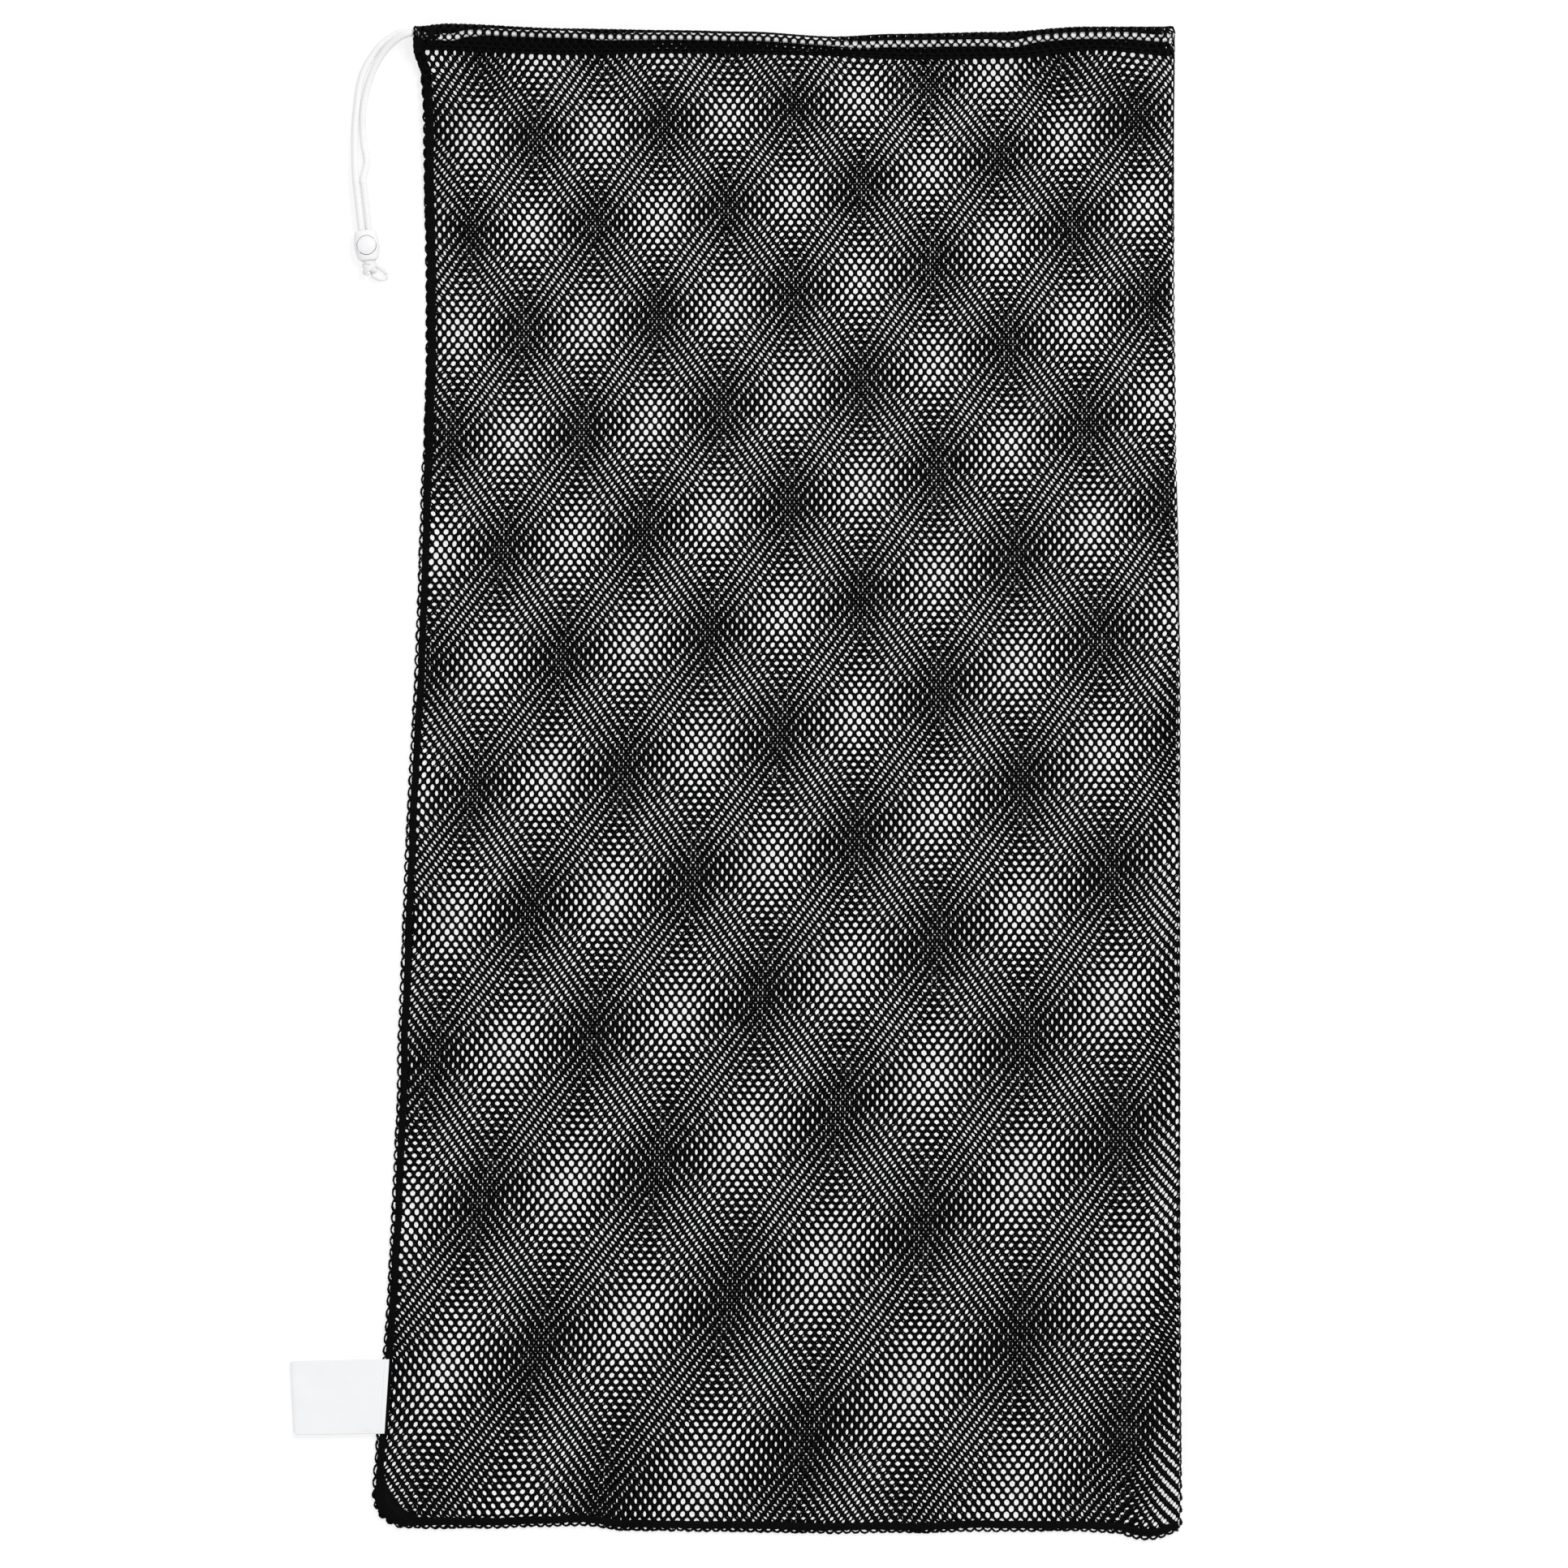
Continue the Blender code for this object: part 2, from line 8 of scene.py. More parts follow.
import bpy
import numpy as np
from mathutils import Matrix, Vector


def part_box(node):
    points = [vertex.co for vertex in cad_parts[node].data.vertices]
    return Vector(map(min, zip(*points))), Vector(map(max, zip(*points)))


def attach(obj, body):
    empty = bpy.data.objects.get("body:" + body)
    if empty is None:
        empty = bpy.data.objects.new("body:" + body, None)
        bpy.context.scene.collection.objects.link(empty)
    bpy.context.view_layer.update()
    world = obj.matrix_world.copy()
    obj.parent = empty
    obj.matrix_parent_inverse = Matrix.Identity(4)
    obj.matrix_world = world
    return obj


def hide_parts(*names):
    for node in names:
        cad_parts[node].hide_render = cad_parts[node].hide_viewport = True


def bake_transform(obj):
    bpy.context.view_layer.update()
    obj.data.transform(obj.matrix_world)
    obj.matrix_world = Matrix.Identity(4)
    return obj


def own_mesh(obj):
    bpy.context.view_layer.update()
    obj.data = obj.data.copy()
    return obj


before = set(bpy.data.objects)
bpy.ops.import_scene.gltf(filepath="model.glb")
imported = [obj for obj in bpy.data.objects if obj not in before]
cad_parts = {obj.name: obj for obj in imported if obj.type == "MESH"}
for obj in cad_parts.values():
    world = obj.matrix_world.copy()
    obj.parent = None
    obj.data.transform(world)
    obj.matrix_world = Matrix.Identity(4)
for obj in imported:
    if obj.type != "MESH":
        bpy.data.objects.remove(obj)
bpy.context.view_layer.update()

MM = 0.001
UP = np.array((0.0, 0.0, 1.0))

# ---- sizes taken from the frame --------------------------

HEM_LOW, HEM_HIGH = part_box("front_hem")
SEAM_LOW, SEAM_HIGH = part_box("bottom_seam")
SIDE_LOW, SIDE_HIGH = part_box("side_seam")
FRONT_RUN_LOW, FRONT_RUN_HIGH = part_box("drawstring_front_run")
BACK_RUN_LOW, BACK_RUN_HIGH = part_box("drawstring_back_run")
LABEL_LOW, LABEL_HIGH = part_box("care_label")
LOCK_LOW, LOCK_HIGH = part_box("cord_lock_body")

TOP = HEM_HIGH.y  # top edge of the mouth
HEM_LINE = HEM_LOW.y  # lower edge of the hem
EXIT_X = HEM_LOW.x  # open end of the hem
BASE = SIDE_LOW.y  # bottom of the sewn side
CORD_RADIUS = (FRONT_RUN_HIGH.z - FRONT_RUN_LOW.z) / 2
CORD_Y = (FRONT_RUN_LOW.y + FRONT_RUN_HIGH.y) / 2
FRONT_CORD_Z = FRONT_RUN_HIGH.z - CORD_RADIUS
BACK_CORD_Z = BACK_RUN_LOW.z + CORD_RADIUS
SEAM_Z = SEAM_HIGH.z
NECK_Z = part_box("front_mesh_panel")[1].z
HEM_Z = HEM_HIGH.z

CORNER_RADIUS = 21 * MM  # bottom corner of the sewn side
STRAIGHT_FROM = BASE + 27 * MM  # the sewn side is straight above this
EDGE_SLOPE = 45 * MM  # width of the cloth's slope down to a seam
NECK_FROM, NECK_TO = 310 * MM, 435 * MM
SIDE_CHANGE = 150 * MM  # above this the side seam is gathered more broadly


def smooth(value):
    t = np.clip(value, 0.0, 1.0)
    return t * t * (3 - 2 * t)


def mix(a, b, t):
    return a + (b - a) * t


def probe(node, start, direction):
    """Where a straight line first meets a node of the frame."""
    hit, spot, _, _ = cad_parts[node].ray_cast(Vector(start), Vector(direction))
    if not hit:
        raise ValueError(f"no surface of {node} lies past {start}")
    return spot


BODY_Z = probe("front_mesh_panel", (0.03, 0.0, 0.1), (0, 0, -1)).z
SIDE_STATIONS = np.linspace(BASE + 0.2 * MM, SIDE_HIGH.y - 0.2 * MM, 160)
SIDE_EDGE = np.array([probe("side_seam", (-0.4, y, SEAM_Z / 2), (1, 0, 0)).x for y in SIDE_STATIONS])
BASE_STATIONS = np.linspace(SEAM_LOW.x + 0.2 * MM, SEAM_HIGH.x - 0.2 * MM, 80)
BASE_EDGE = np.array([probe("bottom_seam", (x, -0.6, SEAM_Z / 2), (0, 1, 0)).y for x in BASE_STATIONS])
FOLD_LOW = probe("side_fold", (0.4, -0.3, BODY_Z / 2), (-1, 0, 0))
FOLD_HIGH = probe("side_fold", (0.4, TOP - 2 * MM, HEM_Z / 2), (-1, 0, 0))


def columns_left(y):
    """The sewn side's line as the net's columns follow it, straight on past the corner."""
    edge = np.interp(np.maximum(y, STRAIGHT_FROM), SIDE_STATIONS, SIDE_EDGE)
    low, high = np.interp([STRAIGHT_FROM, STRAIGHT_FROM + 60 * MM], SIDE_STATIONS, SIDE_EDGE)
    return edge + np.minimum(y - STRAIGHT_FROM, 0) * (high - low) / (60 * MM)


def outline_left(y):
    """Cut edge of the sewn side, which bows out between its ends; the hem's open end stands out a little."""
    return mix(columns_left(y) - side_bow(y), EXIT_X, smooth((y - HEM_LINE + 9 * MM) / (12 * MM)))


def outline_bottom(x):
    """Cut edge of the bottom."""
    return np.interp(x, BASE_STATIONS, BASE_EDGE) + bottom_lift(x)


def outline_right(y):
    """The folded side."""
    return mix(FOLD_LOW.x, FOLD_HIGH.x, (y - FOLD_LOW.y) / (FOLD_HIGH.y - FOLD_LOW.y)) + fold_bow(y)


def neck_rise(y):
    """How far the cloth has risen towards the thick hem, from 0 to 1."""
    return smooth((y - NECK_FROM) / (NECK_TO - NECK_FROM))


def cloth_top(y):
    """Top of the front of the bag away from the sewn side."""
    rise = smooth((y - BASE - 10 * MM) / EDGE_SLOPE)
    return SEAM_Z + (BODY_Z - SEAM_Z) * rise + (NECK_Z - BODY_Z) * neck_rise(y)


def fold_height(y):
    """Height of the folded side."""
    return mix(cloth_top(y), HEM_Z, smooth((y - HEM_LINE) / (10 * MM)))


def seam_centre_z(y):
    """Height of the side seam's middle: it lifts a little towards the thick hem."""
    return SEAM_Z / 2 + 0.35 * (NECK_Z - SEAM_Z) * neck_rise(y)


def corner_nearness(x, y):
    """1 at the sewn bottom corner, fading to 0 along both seams."""
    away = np.hypot(x - CORNER[0] + 14 * MM, y - CORNER[1] + 12 * MM)
    return 1 - smooth((away - 6 * MM) / (22 * MM))


def along_side(low, high, y):
    """A size that runs from low to high from the side seam's lower half to its upper half."""
    return mix(low, high, smooth((y - SIDE_CHANGE) / (60 * MM)))


def band_width(x, y):
    """Width of the gathered band: broad near the mouth and in the corner, narrow between them."""
    width = np.where(y < BASE + 12 * MM, 4.9 * MM, along_side(4.5 * MM, 5.6 * MM, y))
    return width + 7.5 * MM * corner_nearness(x, y)


def seam_centre(x, y):
    """How far the middle of a seam's band lies in from the cloth's cut edge."""
    return along_side(4.7 * MM, 4.1 * MM, y) + 3.0 * MM * corner_nearness(x, y)


def inset(x, y):
    """Distance in from the sewn edges, round the corner too."""
    in_corner = (x < CORNER[0]) & (y < CORNER[1])
    plain = np.minimum(x - outline_left(y), y - outline_bottom(x))
    return np.where(in_corner, CORNER_RADIUS - np.hypot(x - CORNER[0], y - CORNER[1]), plain)


def eased(pairs):
    """A smooth function of x through given (x, value) pairs in mm."""
    xs, values = zip(*pairs)

    def at(x):
        i = np.clip(np.searchsorted(xs, x / MM) - 1, 0, len(xs) - 2)
        start, end = np.take(xs, i), np.take(xs, i + 1)
        return mix(np.take(values, i), np.take(values, i + 1), smooth((x / MM - start) / (end - start))) * MM

    return at


# how far the cloth's edges lie above their straight lines, across the bag
mouth_shift = eased([
    (-194, 1.0), (-174, 2.8), (-101, -0.1), (-42, -1.0), (7, -1.8), (61, -4.7), (95, -3.2), (157, -2.3),
    (213, 1.0), (265, 1.2)])
hem_line_shift = eased([
    (-190, 3.2), (-101, 0.0), (-42, 0.9), (46, 0.0), (120, -2.6), (164, -1.9), (218, 2.8), (266, -1.0)])
bottom_lift = eased([
    (-190, -2.0), (-150, -1.2), (-118, 0.4), (-91, 1.5), (-67, -1.0), (7, -0.6), (56, -0.6), (105, 0.7),
    (154, 2.4), (205, 3.5), (228, 2.8), (246, -0.8), (255, -1.1), (269, 0.5)])
# and how far its two long edges lie outside theirs, up the bag
side_bow = eased([
    (-450, 2.2), (-410, 1.9), (-203, 2.1), (-144, 3.5), (-26, 4.3), (70, 3.3), (100, 3.0), (179, 3.6),
    (215, 2.6), (267, 1.8), (326, 1.2), (414, 0.2), (438, 0.0)])
fold_bow = eased([
    (-450, 0.6), (-250, 0.5), (-150, 0.9), (-60, 1.3), (60, 1.9), (120, 1.4), (210, 0.0), (300, -0.7),
    (380, -0.6), (456, 0.1)])
# how far the cord lies below the middle of its sleeve
cord_sag = eased([
    (-194, 0.6), (-184, 3.6), (-172, 4.6), (-160, 2.0), (-148, 0.6), (-101, 0.1), (-81, 1.2), (-42, 0.3),
    (50, 0.0), (84, 2.6), (150, 2.8), (166, 3.9), (184, 1.8), (232, 1.8), (257, 3.6)])
FRONT_BACKSET = 1.2 * MM  # the front of the mouth lies this much below the back
LAYER_GAP = 0.5 * MM  # from the middle of a seam to the middle of each layer of cloth
RIPPLE = 0.45 * MM  # of the front's cloth, up and down
HEM_FADE = 60 * MM  # the cloth below the hem follows its line over this much
BOTTOM_FADE = 90 * MM  # and the cloth above the bottom seam over this much
CORNER_Y = BASE - 2 * MM + CORNER_RADIUS
CORNER = np.array((float(outline_left(CORNER_Y)) + CORNER_RADIUS, CORNER_Y))


# ---- meshes ----------------------------------------------

GROUND = -0.05 * MM  # as far as a yarn's underside presses down


def add_mesh(name, points, quads, material, body):
    """A piece from arrays of points and of four-cornered faces, fixed to a body, or to none yet.
    Nothing sinks into the ground it lies on."""
    points = points.copy()
    points[:, 2] = np.maximum(points[:, 2], GROUND)
    mesh = bpy.data.meshes.new(name)
    mesh.vertices.add(len(points))
    mesh.vertices.foreach_set("co", np.ascontiguousarray(points, np.float32).ravel())
    mesh.loops.add(quads.size)
    mesh.loops.foreach_set("vertex_index", np.ascontiguousarray(quads, np.int32).ravel())
    mesh.polygons.add(len(quads))
    mesh.polygons.foreach_set("loop_start", np.arange(0, quads.size, 4, dtype=np.int32))
    mesh.update(calc_edges=True)
    mesh.shade_smooth()
    mesh.materials.append(material)
    piece = bpy.data.objects.new(name, mesh)
    bpy.context.scene.collection.objects.link(piece)
    if body:
        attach(piece, body)
    return piece


def tube_faces(rings, sides):
    """Quads of a tube of rings, closed at both ends by strips of quads across its end rings."""
    row = np.arange(rings - 1)[:, None] * sides
    a = np.arange(sides)[None, :]
    b = (a + 1) % sides
    walls = np.stack([row + a, row + b, row + sides + b, row + sides + a], -1).reshape(-1, 4)
    k = np.arange(sides // 2 - 1)
    cap = np.stack([sides - k - 1, sides - k - 2, k + 1, k], -1)
    last = (rings - 1) * sides
    return np.concatenate([walls, cap, cap[:, ::-1] + last])


def outward(points, quads):
    """The faces of a closed shape, turned so that they all look outwards."""
    a, b, c, d = (points[quads[:, k]] - points[0] for k in range(4))
    volume = (a * np.cross(b, c)).sum() + (a * np.cross(c, d)).sum()
    return quads if volume > 0 else quads[:, ::-1]


def route_reach(points):
    """The length of a polyline up to each of its points."""
    return np.concatenate([[0], np.cumsum(np.linalg.norm(np.diff(points, axis=0), axis=1))])


def resample(points, step):
    """Points at an even spacing along a polyline, and how far along it each one is."""
    points = np.asarray(points, float)
    reach = route_reach(points)
    count = max(int(round(reach[-1] / step)), 2)
    at = np.linspace(0, reach[-1], count + 1)
    return np.stack([np.interp(at, reach, points[:, k]) for k in range(3)], 1), at


def smooth_route(points, steps=12):
    """A Catmull-Rom curve through given points."""
    p = np.asarray(points, float)
    p = np.concatenate([[2 * p[0] - p[1]], p, [2 * p[-1] - p[-2]]])
    made = []
    for i in range(1, len(p) - 2):
        t = (np.arange(steps) / steps)[:, None]
        made.append(0.5 * (2 * p[i] + (p[i + 1] - p[i - 1]) * t
                           + (2 * p[i - 1] - 5 * p[i] + 4 * p[i + 1] - p[i + 2]) * t ** 2
                           + (3 * p[i] - p[i - 1] - 3 * p[i + 1] + p[i + 2]) * t ** 3))
    return np.concatenate(made + [p[-2:-1]])


def route_frames(points):
    """Two directions across a route at each of its points, turning as little as they can."""
    ahead = np.gradient(points, axis=0)
    ahead /= np.linalg.norm(ahead, axis=1)[:, None]
    side = np.cross(UP, ahead[0])
    if np.linalg.norm(side) < 0.1:
        side = np.array((1.0, 0.0, 0.0))
    sides, ups = [], []
    for way in ahead:
        side = side - way * np.dot(side, way)
        side /= np.linalg.norm(side)
        sides.append(side)
        ups.append(np.cross(way, side))
    return np.array(sides), np.array(ups)


def tube(points, sides, outline):
    """Points and faces of a closed tube; outline(angle, ring) gives its offsets across and up."""
    across, up = route_frames(points)
    angle = np.linspace(0, 2 * math.pi, sides, endpoint=False)[None, :]
    ring = np.arange(len(points))[:, None]
    right, high = outline(angle, ring)
    spots = points[:, None] + across[:, None] * right[..., None] + up[:, None] * high[..., None]
    return spots.reshape(-1, 3), tube_faces(len(points), sides)


def add_tubes(name, tubes, material, body):
    """One piece made of several tubes."""
    spots = np.concatenate([points for points, _ in tubes])
    before = np.cumsum([0] + [len(points) for points, _ in tubes])
    faces = np.concatenate([quads + start for (_, quads), start in zip(tubes, before)])
    return add_mesh(name, spots, faces, material, body)


def boxy(value, power):
    """A sine or cosine raised to a power with its sign kept, which squares off a round section."""
    return np.sign(value) * np.abs(value) ** power


def dips(along, pitch, power=4):
    """From 0 to 1 once in every pitch, where a stitch dives into the cloth."""
    return (0.5 + 0.5 * np.cos(2 * math.pi * along / pitch)) ** power


def sewing_thread(route, radius, step, sides=8):
    """A two-ply thread along a route."""
    points, along = resample(route, step)

    def outline(angle, ring):
        r = radius * (0.82 + 0.18 * np.abs(np.cos(angle - along[ring] * math.pi / (6 * radius))))
        return r * np.cos(angle), r * np.sin(angle)

    return tube(points, sides, outline)


def crumples(seed, count=16):
    """A smooth random bumpiness, from about -1 to 1, over an angle round a band and a distance along it."""
    rng = np.random.default_rng(seed)
    lengths = rng.uniform(2.4, 13, count) * MM
    turns = rng.integers(-3, 4, count)
    phases = rng.uniform(0, 2 * math.pi, count)
    heights = (lengths / lengths.max()) ** 0.5
    heights /= heights.sum() * 0.42

    def bumps(angle, along):
        waves = zip(heights, turns, lengths, phases)
        return sum(h * np.sin(n * angle + 2 * math.pi * along / length + p) for h, n, length, p in waves)

    return bumps


# ---- materials -------------------------------------------

def new_material(name):
    made = bpy.data.materials.new(name)
    made.use_nodes = True
    return made, made.node_tree, made.node_tree.nodes["Principled BSDF"]


def feed(tree, node, **values):
    """Sets a node's inputs; each value is a number, a colour or another node's output."""
    for name, value in values.items():
        socket = node.inputs[name.replace("_", " ")]
        if isinstance(value, bpy.types.NodeSocket):
            tree.links.new(value, socket)
        else:
            socket.default_value = value
    return node


def add_node(tree, kind, **values):
    return feed(tree, tree.nodes.new("ShaderNode" + kind), **values)


def position_of(tree, scale=(1, 1, 1)):
    """The object's own coordinates, scaled."""
    where = add_node(tree, "TexCoord").outputs["Object"]
    return add_node(tree, "Mapping", Scale=scale, Vector=where).outputs["Vector"]


def noise(tree, vector, scale, detail=2.0):
    made = add_node(tree, "TexNoise", Scale=scale, Detail=detail, Roughness=0.55, Vector=vector)
    return made.outputs["Fac"]


def wave(tree, vector, scale, distortion, direction):
    made = add_node(tree, "TexWave", Scale=scale, Distortion=distortion, Vector=vector)
    made.bands_direction = direction
    return feed(tree, made, Detail=2.0, Detail_Scale=2.0).outputs["Fac"]


def maths(tree, operation, first, second):
    """One sum of two values; a plain number is given as a float."""
    made = tree.nodes.new("ShaderNodeMath")
    made.operation = operation
    for socket, value in zip(made.inputs, (first, second)):
        if isinstance(value, float):
            socket.default_value = value
        else:
            tree.links.new(value, socket)
    return made.outputs[0]


def weigh(tree, first, share, second):
    """A share of the first value, and the rest from the second."""
    parts = [maths(tree, "MULTIPLY", *part) for part in ((first, share), (second, 1 - share))]
    return maths(tree, "ADD", *parts)


def ramp(tree, value, low, high):
    """Runs a value between two colours."""
    made = add_node(tree, "ValToRGB", Fac=value)
    for end, colour, place in zip(made.color_ramp.elements, (low, high), (0.25, 0.75)):
        end.color = (*colour, 1)
        end.position = place
    return made.outputs["Color"]


def span(tree, value, low, high):
    """Runs a value between two numbers."""
    return add_node(tree, "MapRange", To_Min=low, To_Max=high, Value=value).outputs[0]


def bump(tree, height, strength, depth):
    return add_node(tree, "Bump", Strength=strength, Distance=depth, Height=height).outputs["Normal"]


def yarn_material(name, low, high, roughness, sheen, pitch, depth, specular=0.04):
    """Fibres and stitches of a yarn: fine crossed ribs broken up by noise."""
    made, tree, shader = new_material(name)
    here = position_of(tree)
    fibres = noise(tree, here, 2.2 / pitch, 4.0)
    patches = noise(tree, here, 60)
    ribs = maths(tree, "ADD", *(wave(tree, here, 0.16 / pitch, 6.0, way) for way in ("DIAGONAL", "Y")))
    feed(tree, shader,
         Base_Color=ramp(tree, weigh(tree, fibres, 0.7, patches), low, high),
         Roughness=span(tree, fibres, roughness - 0.1, roughness + 0.1),
         Normal=bump(tree, maths(tree, "ADD", ribs, fibres), 0.6, depth),
         Sheen_Weight=sheen, Sheen_Roughness=0.4, Specular_IOR_Level=specular)
    return made


def satin_material():
    """A satin ribbon: long floats across it, in fine rows, with a few slubs."""
    made, tree, shader = new_material("label_satin")
    here = position_of(tree)
    floats = noise(tree, position_of(tree, (0.12, 1, 1)), 5200)
    rows = wave(tree, here, 620, 0.6, "Y")
    slubs = noise(tree, position_of(tree, (0.2, 1, 1)), 420)
    tone = weigh(tree, floats, 0.5, noise(tree, here, 45))
    relief = maths(tree, "ADD", maths(tree, "MULTIPLY", rows, 0.5), maths(tree, "ADD", floats, slubs))
    feed(tree, shader,
         Base_Color=ramp(tree, tone, (0.85, 0.86, 0.88), (0.92, 0.925, 0.93)),
         Roughness=span(tree, slubs, 0.36, 0.52),
         Normal=bump(tree, relief, 0.35, 0.06 * MM),
         Sheen_Weight=0.2, Anisotropic=0.4)
    return made


def plastic_material(name, low, high):
    """Moulded plastic with a fine spark-eroded grain."""
    made, tree, shader = new_material(name)
    here = position_of(tree)
    grain = noise(tree, here, 2600, 3.0)
    cloudy = noise(tree, here, 160)
    feed(tree, shader,
         Base_Color=ramp(tree, cloudy, low, high),
         Roughness=span(tree, cloudy, 0.32, 0.46),
         Normal=bump(tree, grain, 0.25, 0.05 * MM))
    return made


def steel_material():
    """Drawn steel wire."""
    made, tree, shader = new_material("spring_steel")
    drawn = noise(tree, position_of(tree), 3000)
    feed(tree, shader,
         Base_Color=ramp(tree, drawn, (0.50, 0.50, 0.52), (0.66, 0.66, 0.68)),
         Roughness=span(tree, drawn, 0.22, 0.38),
         Metallic=1.0)
    return made


# dark and light colour, roughness, sheen, pitch of the fibres, depth of their relief and shine
NET = yarn_material("net_yarn", (0.0008, 0.0008, 0.001), (0.005, 0.005, 0.006),
                    0.62, 0.006, 0.5 * MM, 0.12 * MM)
SEAM = yarn_material("seam_yarn", (0.0006, 0.0006, 0.0008), (0.004, 0.004, 0.005),
                     0.68, 0.006, 0.45 * MM, 0.16 * MM)
THREAD = yarn_material("sewing_thread", (0.001, 0.001, 0.0012), (0.007, 0.007, 0.008),
                       0.5, 0.01, 0.25 * MM, 0.06 * MM)
CORD = yarn_material("cord_yarn", (0.83, 0.83, 0.84), (0.895, 0.895, 0.90),
                     0.75, 0.1, 0.3 * MM, 0.08 * MM, 0.2)
LABEL_THREAD = yarn_material("label_thread", (0.84, 0.85, 0.87), (0.92, 0.93, 0.94),
                             0.6, 0.1, 0.2 * MM, 0.04 * MM, 0.3)
SATIN = satin_material()
PLASTIC = plastic_material("lock_plastic", (0.825, 0.825, 0.84), (0.865, 0.865, 0.875))
STEEL = steel_material()


# ---- camera ----------------------------------------------

VIEW_WIDTH = 946.7 * MM  # of ground in view
VIEW_X = 29.4 * MM
CAMERA_HEIGHT = 6.0
SENSOR = 36


def add_camera():
    """Straight above, with the mouth of the bag at the top."""
    data = bpy.data.cameras.new("camera")
    data.sensor_width = SENSOR
    data.lens = SENSOR * CAMERA_HEIGHT / VIEW_WIDTH
    data.clip_end = 20
    camera = bpy.data.objects.new("camera", data)
    camera.location = (VIEW_X, 0, CAMERA_HEIGHT)
    bpy.context.scene.collection.objects.link(camera)
    bpy.context.scene.camera = camera


# ---- drawstring ------------------------------------------

LOCK_CENTRE = np.array(((LOCK_LOW.x + LOCK_HIGH.x) / 2, (LOCK_LOW.y + LOCK_HIGH.y) / 2, 0.0))
LOCK_LEAN = math.radians(6.5)
TAIL_SPACING = 4.5 * MM
TAIL_Z = 6.2 * MM
GUIDE_STEPS = (40, 36, 24, 12, 0, -9.6)  # along the tails from the lock's centre, in mm

OUTER_ROUTE = [  # mm, from the back sleeve to the lock's guide
    (-194.3, 452.9, 3.1), (-198.5, 453.6, 3.0), (-203.8, 453.0, 2.8), (-213.6, 446.3, 2.5),
    (-222.3, 434.1, 2.3), (-226.4, 422.9, 2.2), (-228.9, 404.7, 2.2), (-229.7, 390.0, 2.6),
    (-229.5, 375.5, 4.3),
]
INNER_ROUTE = [  # mm, from the front sleeve to the lock's guide
    (-194.3, 452.9, 14.1), (-198.0, 451.9, 13.8), (-203.0, 449.4, 12.2), (-210.0, 443.6, 8.8),
    (-216.6, 434.1, 5.2), (-221.2, 422.9, 3.0), (-224.2, 409.6, 2.3), (-224.9, 397.4, 2.3),
    (-224.1, 385.6, 2.9), (-222.4, 375.5, 4.5),
]
BRAID_STRANDS = 8  # strands that run each way round the cord
BRAID_STEP = 1.5 * MM  # along the cord, from one strand to the next
BRAID_DEPTH = 0.13 * MM


def lock_point(right, along, height):
    """Points given in the lock's own axes, +Y along the tails towards the bag."""
    c, s = math.cos(LOCK_LEAN), math.sin(LOCK_LEAN)
    place = np.broadcast_arrays(right * c - along * s, right * s + along * c, height)
    return LOCK_CENTRE + np.stack(place, -1)


def braid(angle, along, radius):
    """Radius of a braided cord at an angle round it and a distance along it."""
    turn = angle * BRAID_STRANDS / (2 * math.pi)
    walk = along / BRAID_STEP / 2
    one, two = turn + walk, turn - walk
    over = (np.floor(one) + np.floor(two)) % 2 > 0.5
    one, two = (np.sin(math.pi * (strand % 1)) for strand in (one, two))
    ridge = np.where(over, one ** 0.6 * (0.45 + 0.55 * two), two ** 0.6 * (0.45 + 0.55 * one))
    return radius + BRAID_DEPTH * (ridge - 0.7)


def braided_cord(name, route, radius, step, sides, squeeze=None):
    """A round braided cord; squeeze(distance, length) thins it where it ends or goes into the knot."""
    points, along = resample(route, step)

    def outline(angle, ring):
        reach = along[ring]
        r = braid(angle, reach, radius)
        if squeeze is not None:
            r = r * squeeze(reach, along[-1])
        return r * np.cos(angle), r * np.sin(angle)

    piece = add_tubes(name, [tube(points, sides, outline)], CORD, "bag")
    return piece


def pulled_in(reach, length):
    """The last of a tail, drawn thinner where it goes into the knot."""
    return 1 - 0.2 * smooth((reach - length + 2.2 * MM) / (2 * MM))


def add_tails():
    """Both free ends of the string, from the hem through the lock to the knot, each with its path."""
    made = []
    for name, route, side in (("outer", OUTER_ROUTE, -1), ("inner", INNER_ROUTE, 1)):
        guide = lock_point(side * TAIL_SPACING / 2, np.array(GUIDE_STEPS) * MM, TAIL_Z)
        path = smooth_route(np.concatenate([np.array(route) * MM, guide]))
        piece = braided_cord("tail_" + name, path, CORD_RADIUS, 0.3 * MM, 48, pulled_in)
        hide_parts("drawstring_tail_" + name)
        made.append((piece, path))
    return made


